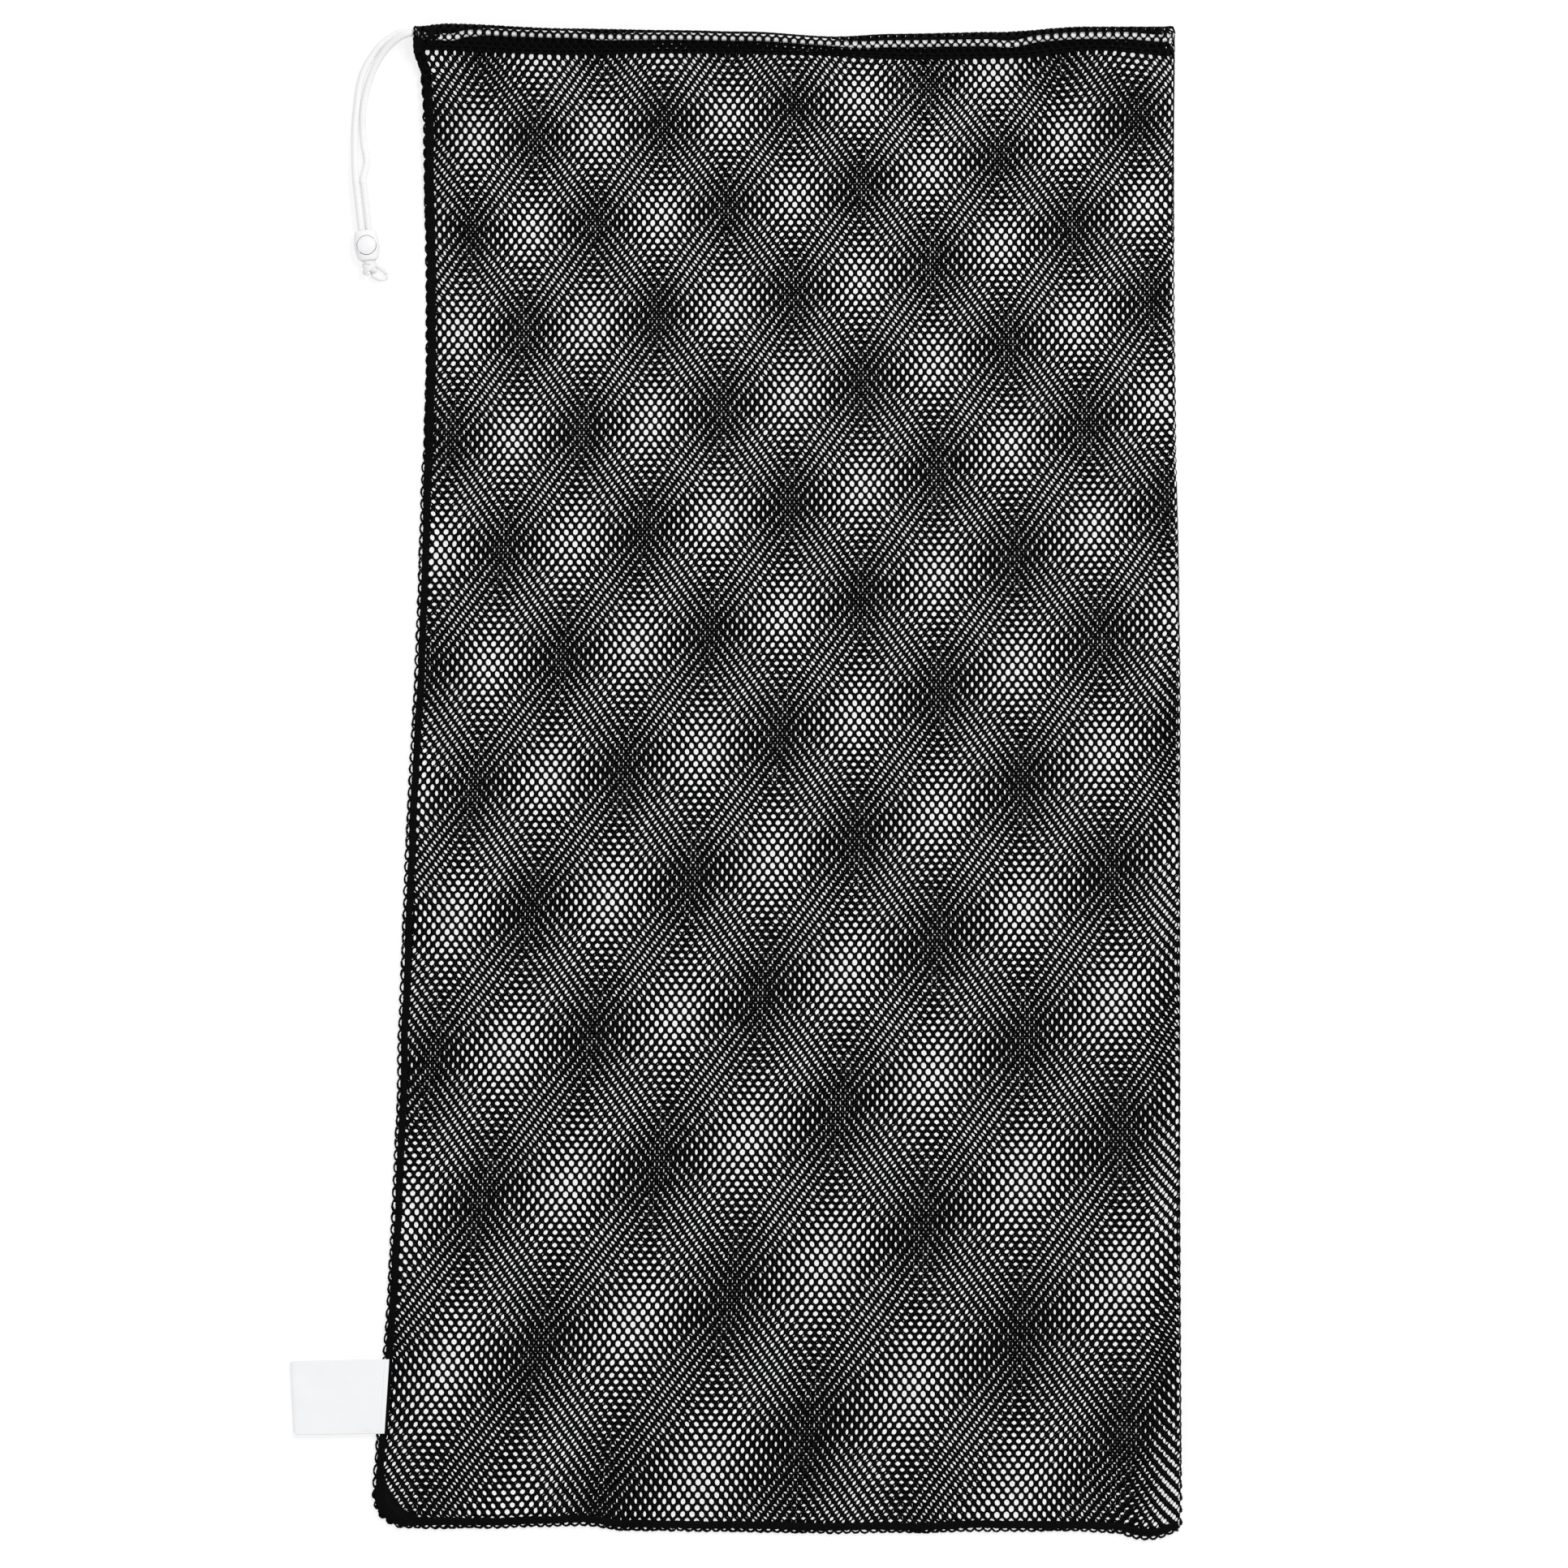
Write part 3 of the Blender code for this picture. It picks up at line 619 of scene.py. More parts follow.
def add_runs():
    """The cord inside the hem, which wanders in its sleeve as the cloth lets it."""
    radius = (FRONT_CORD_Z - BACK_CORD_Z) / 2
    turn_x = BACK_RUN_HIGH.x - radius - CORD_RADIUS
    x = np.linspace(EXIT_X + 0.3 * MM, turn_x, 240)
    low = cord_sag(x)
    y = CORD_Y + mouth_shift(x) - low
    backset = FRONT_BACKSET * smooth((x - EXIT_X) / (12 * MM))
    front = np.stack([x, y - backset, FRONT_CORD_Z - 0.25 * low], 1)
    half = np.radians(np.linspace(90, -90, 25))
    over = (1 + np.sin(half)) / 2
    turn = np.stack([turn_x + 0.3 * MM + radius * np.cos(half), y[-1] - FRONT_BACKSET * over,
                     mix(BACK_CORD_Z, front[-1, 2], over)], 1)
    back = np.stack([x, y, np.full_like(x, BACK_CORD_Z)], 1)[::-1]
    for name, route in (("front", front), ("back", np.concatenate([turn, back[1:]]))):
        piece = braided_cord("run_" + name, route, CORD_RADIUS, 0.5 * MM, 32)
        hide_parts(f"drawstring_{name}_run")


# ---- net -------------------------------------------------

NET_THICKNESS = 0.56 * MM
HOLE_WIDTH = 3.25 * MM
HOLE_HEIGHT = 4.15 * MM
COLUMNS = 87  # holes across the front, from the sewn side to the fold
ROW_PITCH_LOW = 7.84 * MM  # two staggered rows of holes, at the bottom
ROW_PITCH_HIGH = 7.31 * MM  # and at the hem
ROWS = 118  # pairs of rows from the bottom to the hem
SLIP_SPAN = (0.25, 0.45)  # half the bag's width and length
# columns and pairs of rows that the back's net lags, as shares of 1, u, v, uu, uv and vv
SLIP_ACROSS = (-0.77, 2.70, -0.34, -0.15, 0.62, 0.15)
SLIP_ALONG = (3.17, 0.40, -2.98, 0.17, -0.07, -0.50)
FIRST_ROW = 2.8 * MM  # from the bottom edge to the first row's holes
SLEEVE_NET_RADIUS = CORD_RADIUS + 0.65 * MM
TURNED_UNDER = 6 * MM
TURNED_IN = 14 * MM  # cloth folded into the sleeve's open end
SPARE_END = 6 * MM  # profile past the last row, for the points round its holes

CORNERS_X = np.array((1, 1, 0, -1, -1, -1, 0, 1))  # a cell's outer points, in half columns
CORNERS_Y = np.array((0, 1, 3, 1, 0, -1, -3, -1))  # and in quarters of a row
RING_ANGLES = np.radians((0, 38, 90, 142, 180, 218, 270, 322))
ROW_LIMIT = 100000  # more quarters of a row than any piece of net has
HOLE_VARIETY = 0.025  # how much the holes' sizes differ
HOLE_JITTER = 0.06 * MM  # how far they lie from their places
HEM_STEPS = 30  # points along each part of a hem's profile


def hem_profile(cord_z, upper, radius):
    """(y, z) points along the cloth from the hem line over the cord and back, and the length at each.

    upper is 1 for the front of the bag, whose cloth passes above its cord, and -1 for the back.
    """
    t = NET_THICKNESS / 2 + SLEEVE_NET_RADIUS - radius
    start_z = NECK_Z - t if upper > 0 else t
    far_z = start_z - upper * 1.1 * MM
    out = np.linspace(0, 1, HEM_STEPS)
    rise = mix(start_z, cord_z + upper * radius, smooth(out))
    outer = np.stack([mix(HEM_LINE, CORD_Y, out), rise], 1)
    turn = np.radians(np.linspace(90, -90, HEM_STEPS))[1:]
    round_cord = np.stack([CORD_Y + radius * np.cos(turn), cord_z + upper * radius * np.sin(turn)], 1)
    inner_z = mix(cord_z - upper * radius, far_z, smooth(out[1:]))
    inner = np.stack([mix(CORD_Y, HEM_LINE + 1.5 * MM, out[1:]), inner_z], 1)
    under_y = np.linspace(HEM_LINE + 1.9 * MM, HEM_LINE + TURNED_UNDER + SPARE_END, 12)
    under = np.stack([under_y, np.full(12, far_z + upper * 0.5 * MM)], 1)
    points = np.concatenate([outer, round_cord, inner, under])
    return points, route_reach(points)


def hem_profiles(radius):
    """The hem's cloth on both sides of the bag, laid round their cords at a radius."""
    return {1: hem_profile(FRONT_CORD_Z, 1, radius), -1: hem_profile(BACK_CORD_Z, -1, radius)}


HEM_PROFILES = hem_profiles(SLEEVE_NET_RADIUS)
TURNED_IN_PROFILES = hem_profiles(SLEEVE_NET_RADIUS - 0.35 * MM)
OUTER_POINTS = 2 * HEM_STEPS - 1  # of a hem profile before the cloth turns back under the cord


def flat_width(y):
    """Length of cloth across the front, from the sewn side's line to the middle of the fold."""
    radius = fold_height(y) / 2 - NET_THICKNESS / 2
    return outline_right(y) - fold_height(y) / 2 - columns_left(y) + math.pi / 2 * radius


def mouth_raise(x, side):
    """How far the mouth's top edge lies above its straight line on one side of the bag."""
    return mouth_shift(x) - (FRONT_BACKSET if side > 0 else 0)


def lay(x, up, side, profiles=HEM_PROFILES):
    """The place of cloth that is x along the bag's width and up along its length, on one side of the bag.

    side is 1 for the front and -1 for the back.
    """
    profile, reach = profiles[side]
    past = np.maximum(up - HEM_LINE, 0)
    in_hem = up > HEM_LINE
    y = np.where(in_hem, np.interp(past, reach, profile[:, 0]), up)
    height = fold_height(np.minimum(y, TOP))
    centre = outline_right(y) - height / 2
    turned = np.maximum(x - centre, 0) / (height / 2 - NET_THICKNESS / 2)
    plan_x = np.minimum(x, centre)
    droop = np.interp(plan_x, BASE_STATIONS, BASE_EDGE) - BASE
    droop = droop * np.clip((HEM_LINE - up) / (HEM_LINE - BASE), 0, 1)
    lift = bottom_lift(plan_x) * (1 - smooth((up - BASE) / BOTTOM_FADE))
    y = y + np.where(in_hem, 0, droop + lift)
    inside = smooth((x - outline_left(np.minimum(y, HEM_LINE)) - 4 * MM) / EDGE_SLOPE)
    joined = 1 - smooth((up - HEM_LINE + 30 * MM) / (28 * MM))
    inside = 1 - (1 - inside) * joined
    t = NET_THICKNESS / 2
    sewn = seam_centre_z(up) + side * LAYER_GAP
    away = cloth_top(up) - t if side > 0 else np.full_like(up, t)
    ripple = RIPPLE * np.sin(x * 31 + up * 17) * np.sin(up * 23 - x * 9 + 1)
    ripple = ripple * inside * smooth((TOP - 40 * MM - up) / (60 * MM))
    z = mix(sewn, away, inside) + (ripple - RIPPLE if side > 0 else 0)
    z = np.where(in_hem, np.interp(past, reach, profile[:, 1]), z)
    arm = side * (z - height / 2)
    z = height / 2 + side * arm * np.cos(turned)
    plan_x = plan_x + arm * np.sin(turned)
    in_band = smooth((y - HEM_LINE) / (CORD_Y - HEM_LINE))
    below = smooth((y - HEM_LINE + HEM_FADE) / HEM_FADE)
    y = y + mix(hem_line_shift(plan_x), mouth_raise(plan_x, side), in_band) * below
    return np.stack([plan_x, y, z], -1)


def front_cloth(column, row):
    """Where a column and a half row of the front's net lie along the bag's width and length."""
    pairs = row / 2
    up = BASE + FIRST_ROW + ROW_PITCH_LOW * pairs - (ROW_PITCH_LOW - ROW_PITCH_HIGH) * pairs ** 2 / (2 * ROWS)
    across = (column + 0.5) / (COLUMNS + 0.5)
    level = np.minimum(up, TOP)
    return columns_left(level) + across * flat_width(level), up


def slip(x, up):
    """How many columns and pairs of rows the back's net lags behind the front's at the same place."""
    u, v = x / SLIP_SPAN[0], up / SLIP_SPAN[1]
    terms = (1, u, v, u * u, u * v, v * v)
    across = sum(share * term for share, term in zip(SLIP_ACROSS, terms))
    along = sum(share * term for share, term in zip(SLIP_ALONG, terms))
    return across, along


def back_cloth(column, row):
    """The same for the back's net, which lags behind the front's by their slip."""
    front_column, front_row = column, row
    for _ in range(8):
        x, up = front_cloth(front_column, front_row)
        across, along = slip(x, up)
        front_column, front_row = column + across, row + 2 * along
    return front_cloth(front_column, front_row)


def tangents(place, column, row):
    """Points of the net there, with unit vectors along its columns' and rows' directions and its normal."""
    step = 0.02
    here = place(column, row)
    along_x = place(column + step, row) - place(column - step, row)
    along_y = place(column, row + step) - place(column, row - step)
    along_x /= np.linalg.norm(along_x, axis=-1)[..., None]
    along_y -= along_x * (along_x * along_y).sum(-1)[..., None]
    along_y /= np.linalg.norm(along_y, axis=-1)[..., None]
    return here, along_x, along_y, np.cross(along_x, along_y)


def net_mesh(name, cells_x, cells_y, place, side, shrink):
    """Knitted net: a round hole in each six-sided cell, thick along the yarns and thin at the holes."""
    rng = np.random.default_rng(len(cells_x) + (7 if side > 0 else 11))
    count = len(cells_x)
    keys_x = cells_x[:, None] + CORNERS_X
    keys_y = 4 * cells_y[:, None] + CORNERS_Y
    low_x, low_y = keys_x.min(), keys_y.min()
    packed = (keys_x - low_x) * ROW_LIMIT + (keys_y - low_y)
    unique, outer = np.unique(packed, return_inverse=True)
    outer = outer.reshape(count, 8)
    column = (unique // ROW_LIMIT + low_x) / 2
    row = (unique % ROW_LIMIT + low_y) / 4
    edge, _, _, normal = tangents(place, column, row)
    normal = normal * side
    thick = NET_THICKNESS / 2
    centre, right, ahead, _ = tangents(place, cells_x / 2, cells_y.astype(float))
    wide, tall = HOLE_WIDTH / 2, HOLE_HEIGHT / 2
    size = (shrink * (1 + rng.normal(0, HOLE_VARIETY, count)))[:, None, None]
    jitter = rng.normal(0, HOLE_JITTER, (count, 2))
    centre = centre + right * jitter[:, :1] + ahead * jitter[:, 1:]
    turn_x, turn_y = np.cos(RING_ANGLES)[None, :, None], np.sin(RING_ANGLES)[None, :, None]
    ring = centre[:, None] + size * (wide * right[:, None] * turn_x + tall * ahead[:, None] * turn_y)
    points = np.concatenate([ring.reshape(-1, 3), edge + normal * thick, edge - normal * thick])
    upper = 8 * count + outer
    lower = upper + len(unique)
    inner = np.arange(8 * count).reshape(count, 8)
    nxt = np.roll(np.arange(8), -1)
    top = np.stack([inner, upper, upper[:, nxt], inner[:, nxt]], -1).reshape(-1, 4)
    bottom = np.stack([inner[:, nxt], lower[:, nxt], lower, inner], -1).reshape(-1, 4)
    ends = np.stack([outer, outer[:, nxt]], -1).reshape(-1, 2)
    _, index, uses = np.unique(np.sort(ends, axis=1), axis=0, return_inverse=True, return_counts=True)
    one, two = (ends[uses[index.reshape(-1)] == 1] + 8 * count).T
    rim = np.stack([two, one, one + len(unique), two + len(unique)], -1)
    quads = np.concatenate([top, bottom, rim])
    if side < 0:
        quads = quads[:, ::-1]
    return add_mesh(name, points, quads, NET, "bag")


def net_cells(columns, rows):
    """Every cell between two columns and two half rows, in half columns across and half rows up."""
    half_rows, all_columns = np.meshgrid(np.arange(*rows), np.arange(*columns), indexing="ij")
    return (2 * all_columns + half_rows % 2).ravel(), half_rows.ravel()


def add_net(side, cloth, columns, rows, names, nodes):
    """One side of the bag's net, in bands from the bottom up so that no piece is too heavy.

    columns and rows reach past the cloth's edges, and the cells outside the cloth are left out.
    """
    _, reach = HEM_PROFILES[side]
    cells_x, cells_y = net_cells(columns, rows)
    x, up = cloth(cells_x / 2, cells_y.astype(float))
    y = lay(x, up, side)[:, 1]
    inside = np.where(up > HEM_LINE, x > EXIT_X + 1.6 * MM, inset(x, y) > seam_centre(x, y) - 0.4 * MM)
    level = np.minimum(up, TOP)
    inside &= x < columns_left(level) + flat_width(level) + 0.6 * MM
    inside &= up < HEM_LINE + reach[-1] - SPARE_END
    cells_x, cells_y = cells_x[inside], cells_y[inside]

    def place(column, row):
        return lay(*cloth(column, row), side)

    stops = np.linspace(cells_y.min(), cells_y.max() + 1, len(names) + 1).round().astype(int)
    stretch = mix(1.012, 0.965, smooth((up[inside] - BASE) / (TOP - BASE)))
    shrink = np.where(up[inside] > HEM_LINE + reach[OUTER_POINTS], 0.62, stretch)
    for name, start, stop in zip(names, stops, stops[1:]):
        band = (cells_y >= start) & (cells_y < stop)
        piece = net_mesh(name, cells_x[band], cells_y[band], place, side, shrink[band])
        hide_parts(*nodes)


def add_turned_in_end(side, name):
    """The cloth turned in at the sleeve's open end, just inside its outer layer."""
    _, reach = TURNED_IN_PROFILES[side]
    cells_x, cells_y = net_cells((0, 6), (2 * ROWS - 30, 2 * ROWS + 20))

    def place(column, row):
        across, along = front_cloth(column + 0.5, row + 0.35)
        return lay(across, along, side, TURNED_IN_PROFILES)

    x, up = front_cloth(cells_x / 2 + 0.5, cells_y + 0.35)
    inside = (x > EXIT_X + 1.6 * MM) & (x < EXIT_X + TURNED_IN) & (up > HEM_LINE + 2 * MM)
    inside &= up < HEM_LINE + reach[-1] - SPARE_END
    cells_x, cells_y = cells_x[inside], cells_y[inside]
    shrink = np.full(len(cells_x), 0.45)
    piece = net_mesh(name, cells_x, cells_y, place, side, shrink)


# ---- seams -----------------------------------------------

BAND_HEIGHT = SEAM_Z
STITCH_PITCH = 2.5 * MM
THREAD_RADIUS = 0.22 * MM
LOOP_PITCHES = {"side": 7.3 * MM, "bottom": 5.3 * MM}  # between the open loops along the cut edge
LOOP_YARN = 0.66 * MM


def seam_route(side):
    """Plan points of a seam's outer edge, with the inward direction at each: side, corner and bottom."""
    if side == "side":
        y = np.arange(HEM_LINE + 3.4 * MM, CORNER[1], -1 * MM)
        straight = np.stack([outline_left(y), y], 1)
        turn = np.radians(np.linspace(180, 268, 44))
        out = np.stack([np.cos(turn), np.sin(turn)], 1)
        inward = np.concatenate([np.tile((1.0, 0.0), (len(y), 1)), -out])
        return np.concatenate([straight, CORNER + CORNER_RADIUS * out]), inward
    x = np.arange(CORNER[0] - 0.5 * MM, outline_right(BASE) - 1.2 * MM, 1 * MM)
    return np.stack([x, outline_bottom(x)], 1), np.tile((0.0, 1.0), (len(x), 1))


def seam_line(side, offsets, step):
    """Points along a seam, offsets(along, x, y) in from its edge, and how far along each one is."""
    edge, inward = seam_route(side)
    reach = route_reach(edge)
    along = np.linspace(0, reach[-1], int(reach[-1] / step) + 1)
    x, y = (np.interp(along, reach, edge[:, k]) for k in range(2))
    in_x, in_y = (np.interp(along, reach, inward[:, k]) for k in range(2))
    offset = offsets(along, x, y)
    return np.stack([x + in_x * offset, y + in_y * offset, seam_centre_z(y)], 1), along


def add_band(side, seed):
    """The two cloth edges rolled together and gathered by the overlock stitches."""
    wander = crumples(seed + 1)
    bumps, fine = crumples(seed), crumples(seed + 2, 24)

    def middle(along, x, y):
        return seam_centre(x, y) + 0.35 * MM * wander(0, along / 9)

    route, along = seam_line(side, middle, 0.45 * MM)
    half_width = band_width(route[:, 0], route[:, 1]) / 2

    def outline(angle, ring):
        reach = along[ring]
        gather = 0.5 + 0.5 * np.sin(2 * math.pi * reach / STITCH_PITCH + 1.4 * np.sin(angle))
        puff = 1 + 0.10 * bumps(angle, reach) + 0.07 * fine(2 * angle, reach * 2) - 0.10 * gather ** 2
        wide = half_width[ring] * boxy(np.cos(angle), 0.8)
        high = BAND_HEIGHT / 2 * boxy(np.sin(angle), 0.8)
        return wide * puff, high * np.minimum(puff, 1.04)

    piece = add_tubes(side + "_seam_band", [tube(route, 28, outline)], SEAM, "bag")
    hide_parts(side + "_seam")


def add_fringe(side, seed):
    """The cloth's cut edges stand out past the band in a row of open loops, one row for each layer."""
    rng = np.random.default_rng(seed)
    rows = []
    for layer, phase in ((1, 0.0), (-1, 0.12)):
        drift = crumples(seed + layer)
        droop = rng.uniform(0.0, 0.5, 600) * MM

        def offsets(along, x, y):
            turn = along / LOOP_PITCHES[side] + phase + 0.16 * drift(0, along / 9)
            out = np.abs(np.sin(math.pi * turn)) ** 0.3
            return mix(seam_centre(x, y), LOOP_YARN + droop[turn.astype(int) % len(droop)], out)

        route, along = seam_line(side, offsets, 0.3 * MM)
        route[:, 2] += layer * 0.36 * MM + 0.05 * MM
        route = resample(route, 0.4 * MM)[0]
        reach = route_reach(route)

        def outline(angle, ring):
            r = LOOP_YARN * (0.9 + 0.14 * np.sin(2 * angle + reach[ring] * 2 * math.pi / (2.2 * MM)))
            return r * np.cos(angle), 0.85 * r * np.sin(angle)

        rows.append(tube(route, 8, outline))
    piece = add_tubes(side + "_seam_fringe", rows, NET, "bag")


def add_overlock(side):
    """Overlock stitches: a needle line along the inner edge and looper threads across the band."""
    def surface(share):
        """How high the band's top is above its middle, at a share of its half width."""
        return (BAND_HEIGHT / 2) * (1 - np.clip(np.abs(share), 0, 0.985) ** 2.6) ** 0.4

    def looper(lean):
        def share(along):
            phase = (along / STITCH_PITCH + lean) % 1
            return 0.80 - 1.68 * np.abs(2 * phase - 1) ** 0.9

        def offsets(along, x, y):
            return seam_centre(x, y) + band_width(x, y) / 2 * share(along)

        route, along = seam_line(side, offsets, 0.22 * MM)
        route[:, 2] += surface(share(along)) + 0.12 * MM
        return sewing_thread(route, THREAD_RADIUS, 0.4 * MM, 6)

    def needle():
        def offsets(along, x, y):
            return seam_centre(x, y) + 0.33 * band_width(x, y)

        route, along = seam_line(side, offsets, 0.3 * MM)
        route[:, 2] += surface(0.66) + 0.25 * MM - 0.6 * MM * dips(along, STITCH_PITCH, 3)
        return sewing_thread(route, THREAD_RADIUS * 1.15, 0.35 * MM, 6)

    piece = add_tubes(side + "_seam_stitches", [looper(0.0), looper(0.5), needle()], THREAD, "bag")
    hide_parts(side + "_seam_stitching")


def hem_height(side, past):
    """Height of the hem's outer cloth at a distance above the hem line."""
    profile, _ = HEM_PROFILES[side]
    return np.interp(HEM_LINE + past, *profile[:HEM_STEPS].T)


def hem_place(side, x, past):
    """Where cloth at a distance above the hem line lies in Y."""
    raised = mix(hem_line_shift(x), mouth_raise(x, side), smooth(past / (CORD_Y - HEM_LINE)))
    return HEM_LINE + past + raised


def add_hem_stitches():
    """Two close lines of lockstitch along the hem, front and back."""
    for name, side in (("front", 1), ("back", -1)):
        lines = []
        for past in (2.0 * MM, 4.2 * MM):
            x = np.arange(EXIT_X + 2 * MM, HEM_HIGH.x + 1 * MM, 0.3 * MM)
            y = hem_place(side, x, past) + 0.12 * MM * np.sin(x * 610)
            lift = NET_THICKNESS / 2 + 0.16 * MM - 0.5 * MM * dips(x, STITCH_PITCH)
            z = np.maximum(hem_height(side, past) + side * lift, 0.1 * MM)
            lines.append(sewing_thread(np.stack([x, y, z], 1), THREAD_RADIUS * 1.2, 0.35 * MM, 6))
        piece = add_tubes(name + "_hem_stitches", lines, THREAD, "bag")
        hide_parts(name + "_hem_stitching")


def add_hem_ends():
    """The sleeve's open ends: cloth turned in and rolled below the cord, and a rolled rim round it."""
    for name, side, cord_z in (("front", 1, FRONT_CORD_Z), ("back", -1, BACK_CORD_Z)):
        x0 = EXIT_X + 3.0 * MM
        past = np.linspace(-0.5 * MM, CORD_Y - HEM_LINE - 4.2 * MM, 60)
        y = hem_place(side, x0, past)
        z = hem_height(side, np.maximum(past, 0)) - side * 0.75 * MM
        bumps = crumples(61 + side)
        route, along = resample(np.stack([np.full_like(y, x0), y, z], 1), 0.3 * MM)

        def flat(angle, ring):
            puff = 1 + 0.12 * bumps(angle, along[ring])
            return 3.0 * MM * puff * boxy(np.cos(angle), 0.7), 1.0 * MM * puff * np.sin(angle)

        turn = np.linspace(0, 2 * math.pi, 90)
        rim_y = hem_place(side, EXIT_X, CORD_Y - HEM_LINE) + SLEEVE_NET_RADIUS * np.cos(turn)
        rim_z = np.maximum(cord_z + (SLEEVE_NET_RADIUS - 0.15 * MM) * np.sin(turn), 0.55 * MM)
        rims = []
        for inward in (0.9, 2.6, 4.3):
            rim_x = EXIT_X + inward * MM + 0.3 * MM * np.sin(5 * turn + side + inward)
            rims.append(np.stack([rim_x, rim_y, rim_z], 1))

        def round_rim(angle, ring):
            r = 0.5 * MM * (1 + 0.2 * bumps(angle, ring * 0.2 * MM))
            return 1.8 * r * np.cos(angle), r * np.sin(angle)

        tubes = [tube(route, 20, flat)] + [tube(rim, 12, round_rim) for rim in rims]
        piece = add_tubes(name + "_hem_end", tubes, SEAM, "bag")
        add_turned_in_end(side, name + "_hem_turned_in")


# ---- knot ------------------------------------------------

KNOT_LOW, KNOT_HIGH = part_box("drawstring_knot")
KNOT_Z = (KNOT_LOW.z + KNOT_HIGH.z) / 2
KNOT_FROM, KNOT_TO = -9.5 * MM, -19.0 * MM  # along the tails, from the lock's centre
STRAND = 1.72 * MM  # radius of the cord pulled tight
COIL = 2.55 * MM  # radius of the coils' middle line
FIBRES = 26  # loose at each cut end
UPPER_END = [(-218.6, 313.4, 4.6), (-215.8, 312.5, 3.8), (-213.0, 310.7, 3.0), (-210.9, 308.3, 2.2)]
LOWER_END = [(-219.2, 307.3, 3.6), (-216.2, 305.6, 2.8), (-213.4, 304.8, 2.2), (-210.9, 305.0, 1.9)]


def knot_coil(start, settled, turns):
    """One strand of the knot: from its tail's place into a coil round the knot's own line."""
    t = np.linspace(0, 1, 70)
    angle = np.radians(mix(start, settled, smooth(3 * t)) - 360 * turns * t)
    swell = COIL * (0.92 + 0.14 * np.sin(math.pi * t))
    along = mix(KNOT_FROM, KNOT_TO + STRAND, t)
    side = math.copysign(TAIL_SPACING / 2, math.cos(angle[0]))
    lead = lock_point(side, KNOT_FROM + np.array((2, 0.9)) * MM, TAIL_Z)
    return np.concatenate([lead, lock_point(swell * np.cos(angle), along, KNOT_Z + swell * np.sin(angle))])


def add_knot():
    """Both tails tied together in one overhand knot."""
    t = np.linspace(0, 1, 40)
    angle = np.radians(mix(205, -20, t))
    radius = COIL + 0.75 * MM * np.sin(math.pi * t)
    along = mix(KNOT_TO + 2.6 * MM, KNOT_FROM - 2.4 * MM, smooth(t))
    routes = {
        "coil_outer": knot_coil(141, 141, 1.15),
        "coil_inner": knot_coil(39, -39, 1.15),
        "crossing": lock_point(radius * np.cos(angle), along, KNOT_Z + radius * np.sin(angle)),
    }
    made = []
    for name, route in routes.items():
        piece = braided_cord("knot_" + name, route, STRAND, 0.25 * MM, 32, tapered_ends)
        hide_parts("drawstring_knot")
        made.append(piece)
    return made


def tapered_ends(reach, length):
    """A strand of the knot, rounded off where it dives under its neighbours."""
    return np.sqrt(np.clip(np.minimum(reach, length - reach) / (1.2 * MM), 0.05, 1))


def frayed_tip(reach, length):
    """A cut end, thinner where its fibres come loose."""
    return 1 - 0.35 * smooth((reach - length + 4 * MM) / (4 * MM))


def add_frayed_ends():
    """The string's two cut ends, each spreading into loose fibres."""
    made = []
    for name, route, lean in (("upper", UPPER_END, -14), ("lower", LOWER_END, 16)):
        rng = np.random.default_rng(len(made) + 31)
        path = smooth_route(np.array(route) * MM)
        core = braided_cord("end_" + name, path, STRAND * 0.93, 0.25 * MM, 32, frayed_tip)
        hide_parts("cord_end_" + name)
        ahead = path[-1] - path[-3]
        ahead /= np.linalg.norm(ahead)
        side = np.cross(UP, ahead)
        fibres = []
        for _ in range(FIBRES):
            spread, drop = rng.uniform(-1, 1), rng.uniform(-0.9, 0.9)
            start = path[-1] - 0.5 * MM * ahead + side * spread * 0.8 * MM + UP * drop * 0.7 * MM
            turn = math.radians(lean + 26 * spread + rng.uniform(-6, 6))
            way = ahead * math.cos(turn) + side * math.sin(turn)
            length = rng.uniform(1.4, 3.0) * MM
            t = np.linspace(0, 1, 9)[:, None]
            curl = side * rng.uniform(-0.5, 0.5) * MM
            line = start + way * length * t + curl * t ** 2 - UP * 0.5 * MM * t ** 2
            line[:, 2] = np.maximum(line[:, 2], 0.15 * MM)
            fibres.append(fibre(line))
        brush = add_tubes("fray_" + name, fibres, CORD, "bag")
        made += [core, brush]
    return made


def fibre(line):
    """One loose fibre, thinner towards its tip."""
    def outline(angle, ring):
        r = 0.11 * MM * (1 - 0.7 * ring / (len(line) - 1))
        return r * np.cos(angle), r * np.sin(angle)

    return tube(line, 6, outline)


# ---- cord lock -------------------------------------------

BUTTON_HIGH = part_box("cord_lock_button")[1]
GAP = 0.3 * MM  # between sliding pieces
LOCK_HALF_LENGTH = 9.3 * MM
LOCK_HALF_WIDTH = 7.6 * MM
LOCK_MIDDLE = (LOCK_LOW.z + LOCK_HIGH.z) / 2
LOCK_FLOOR = 0.8 * MM
BUTTON_RADIUS = 5.65 * MM
BUTTON_FOOT = 2.8 * MM
BUTTON_STROKE = 1.5 * MM
SPRING_LOW, SPRING_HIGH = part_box("cord_lock_spring")
SPRING_TURNS = 3
SPRING_RADII = (3.6 * MM, 1.6 * MM)
SPRING_WIRE = 0.2 * MM  # half the wire's thickness
ROUNDING = 1.7 * MM  # of the lock's two ends
ROLL = 0.6 * MM  # rounding of the button's rim


def circle(count):
    turn = np.linspace(0, 2 * math.pi, count, endpoint=False)
    return np.cos(turn), np.sin(turn)


